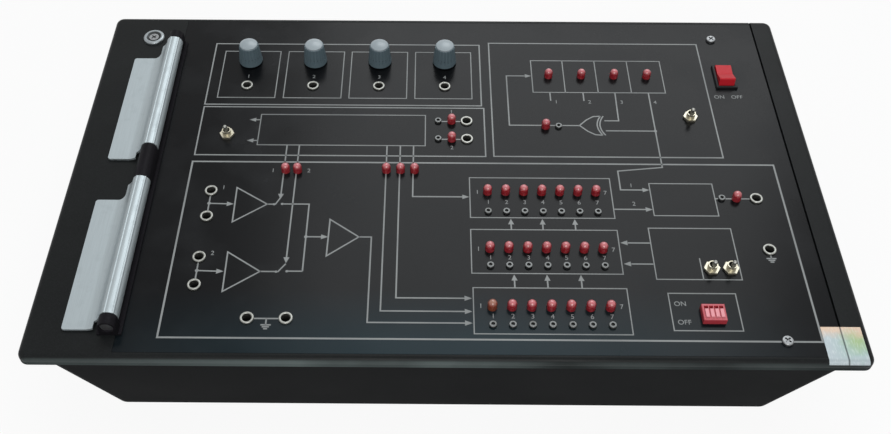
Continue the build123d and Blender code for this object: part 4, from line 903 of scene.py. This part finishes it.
# The four-way slide switch in the front right block: a moulded bright red body whose top is painted a
# lighter pink as a highlight, with four small pink levers that slide in its slots.
# Its dust share and pale pink dust colour here paint the top face lighter than the front: a painted
# highlight.
switch_red = surfaced(
    "switch_red", moulded_skin,
    {"Tint": (0.46, 0.040, 0.055, 1.0), "Dust colour": (0.80, 0.27, 0.31, 1.0), "Dust": 0.9,
     "Grain size": 0.0005, "Rough": 0.38, "Gloss patches": 0.08},
    depth=0.00001, plain={"Specular IOR Level": 0.3},
)
lever_pale = surfaced(
    "lever_pale", moulded_skin,
    {"Tint": (0.82, 0.30, 0.34, 1.0), "Dust colour": (0.70, 0.34, 0.34, 1.0), "Dust": 0.2,
     "Grain size": 0.0005, "Rough": 0.36, "Gloss patches": 0.08},
    depth=0.000005,
)
dress(switch_red, "fault_switch_body")
for n in range(1, 5):
    dress(lever_pale, f"fault_lever_{n}")

# The seal label on the front right corner: thin embossed foil, silvery with a cream back edge and a
# yellow-green patch at its right. It is stuck over the groove beside the panel and has sunk into it,
# which shows as a crease darkened with painted shade.
foil_silver = (0.44, 0.51, 0.54, 1.0)
foil_cream = (0.66, 0.50, 0.38, 1.0)
foil_green = (0.36, 0.48, 0.24, 1.0)
foil_cyan = (0.31, 0.50, 0.43, 1.0)
foil_glint = (0.76, 0.80, 0.80, 1.0)
foil_crease_shade = (0.03, 0.035, 0.04, 1.0)
stain_drift_size = 0.005
stain_drift = 0.5
cream_back_band = (0.36, 0.06)
green_side_band = (0.35, 0.75)
green_back_band = (0.80, 0.45)
green_share = 0.9
cyan_side_band = (0.10, 0.75)
cyan_back_band = (0.98, 0.62)
cyan_share = 0.75
emboss_stretch = (1.0, 0.2, 1.0)
emboss_roughness = 0.15
glint_band = (0.50, 0.72)
glint_share = 0.35
crease_offset = 0.0006
crease_band = (0.0002, 0.0006)
crease_shade_share = 0.80


def make_foil():
    """Embossed foil: silver with a cream back edge and a green patch at the right that turns to cyan at
    its front, with a fine upright emboss, painted glints on it, and a crease darkened with painted shade."""
    group, given = new_group(
        "stained_foil",
        {"Rough": 0.25, "Emboss size": 0.0008, "Back edge": 0.0, "Length": 0.02, "Left edge": 0.0,
         "Crease": 0.0},
        {},
    )
    axes = put(group, "ShaderNodeSeparateXYZ", {0: place_on_piece(group)}).outputs
    drift = sum_up(group, "SUBTRACT", noise_of_size(group, stain_drift_size), 0.5)
    drift = sum_up(group, "MULTIPLY", drift, stain_drift)
    back = sum_up(group, "DIVIDE", sum_up(group, "SUBTRACT", given["Back edge"], axes["Y"]), given["Length"])
    back = sum_up(group, "ADD", back, drift)
    side = sum_up(group, "DIVIDE", sum_up(group, "SUBTRACT", axes["X"], given["Left edge"]), given["Length"])
    right = ramp(group, sum_up(group, "ADD", side, drift), *green_side_band)
    green = sum_up(group, "MULTIPLY", right, ramp(group, back, *green_back_band))
    cyan = ramp(group, side, *cyan_side_band)
    cyan = sum_up(group, "MULTIPLY", cyan, ramp(group, back, *cyan_back_band))
    colour = mixed(group, sum_up(group, "MULTIPLY", cyan, cyan_share), foil_silver, foil_cyan)
    colour = mixed(group, sum_up(group, "MULTIPLY", green, green_share), colour, foil_green)
    colour = mixed(group, ramp(group, back, *cream_back_band), colour, foil_cream)
    emboss = noise_of_size(group, given["Emboss size"], fine_detail, emboss_stretch)
    glints = sum_up(group, "MULTIPLY", ramp(group, emboss, *glint_band), glint_share)
    colour = mixed(group, glints, colour, foil_glint)
    off_crease = sum_up(group, "ABSOLUTE", sum_up(group, "SUBTRACT", axes["X"], given["Crease"]))
    crease = fade(group, off_crease, *crease_band)
    # Painted shade along the crease where the foil dips into the groove.
    colour = mixed(group, sum_up(group, "MULTIPLY", crease, crease_shade_share), colour, foil_crease_shade)
    rough = sum_up(group, "MULTIPLY_ADD", emboss, emboss_roughness, given["Rough"])
    return close_group(group, colour, rough, sum_up(group, "SUBTRACT", emboss, crease))


label_low, label_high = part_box("seal_label")
seal_foil = surfaced(
    "seal_foil", make_foil(),
    {"Rough": 0.30, "Emboss size": 0.0007, "Back edge": label_high.y, "Length": label_high.y - label_low.y,
     "Left edge": label_low.x, "Crease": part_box("front_panel")[1].x + crease_offset},
    depth=0.00003, plain={"Metallic": 0.30, "Specular IOR Level": 0.3},
)
dress(seal_foil, "seal_label")
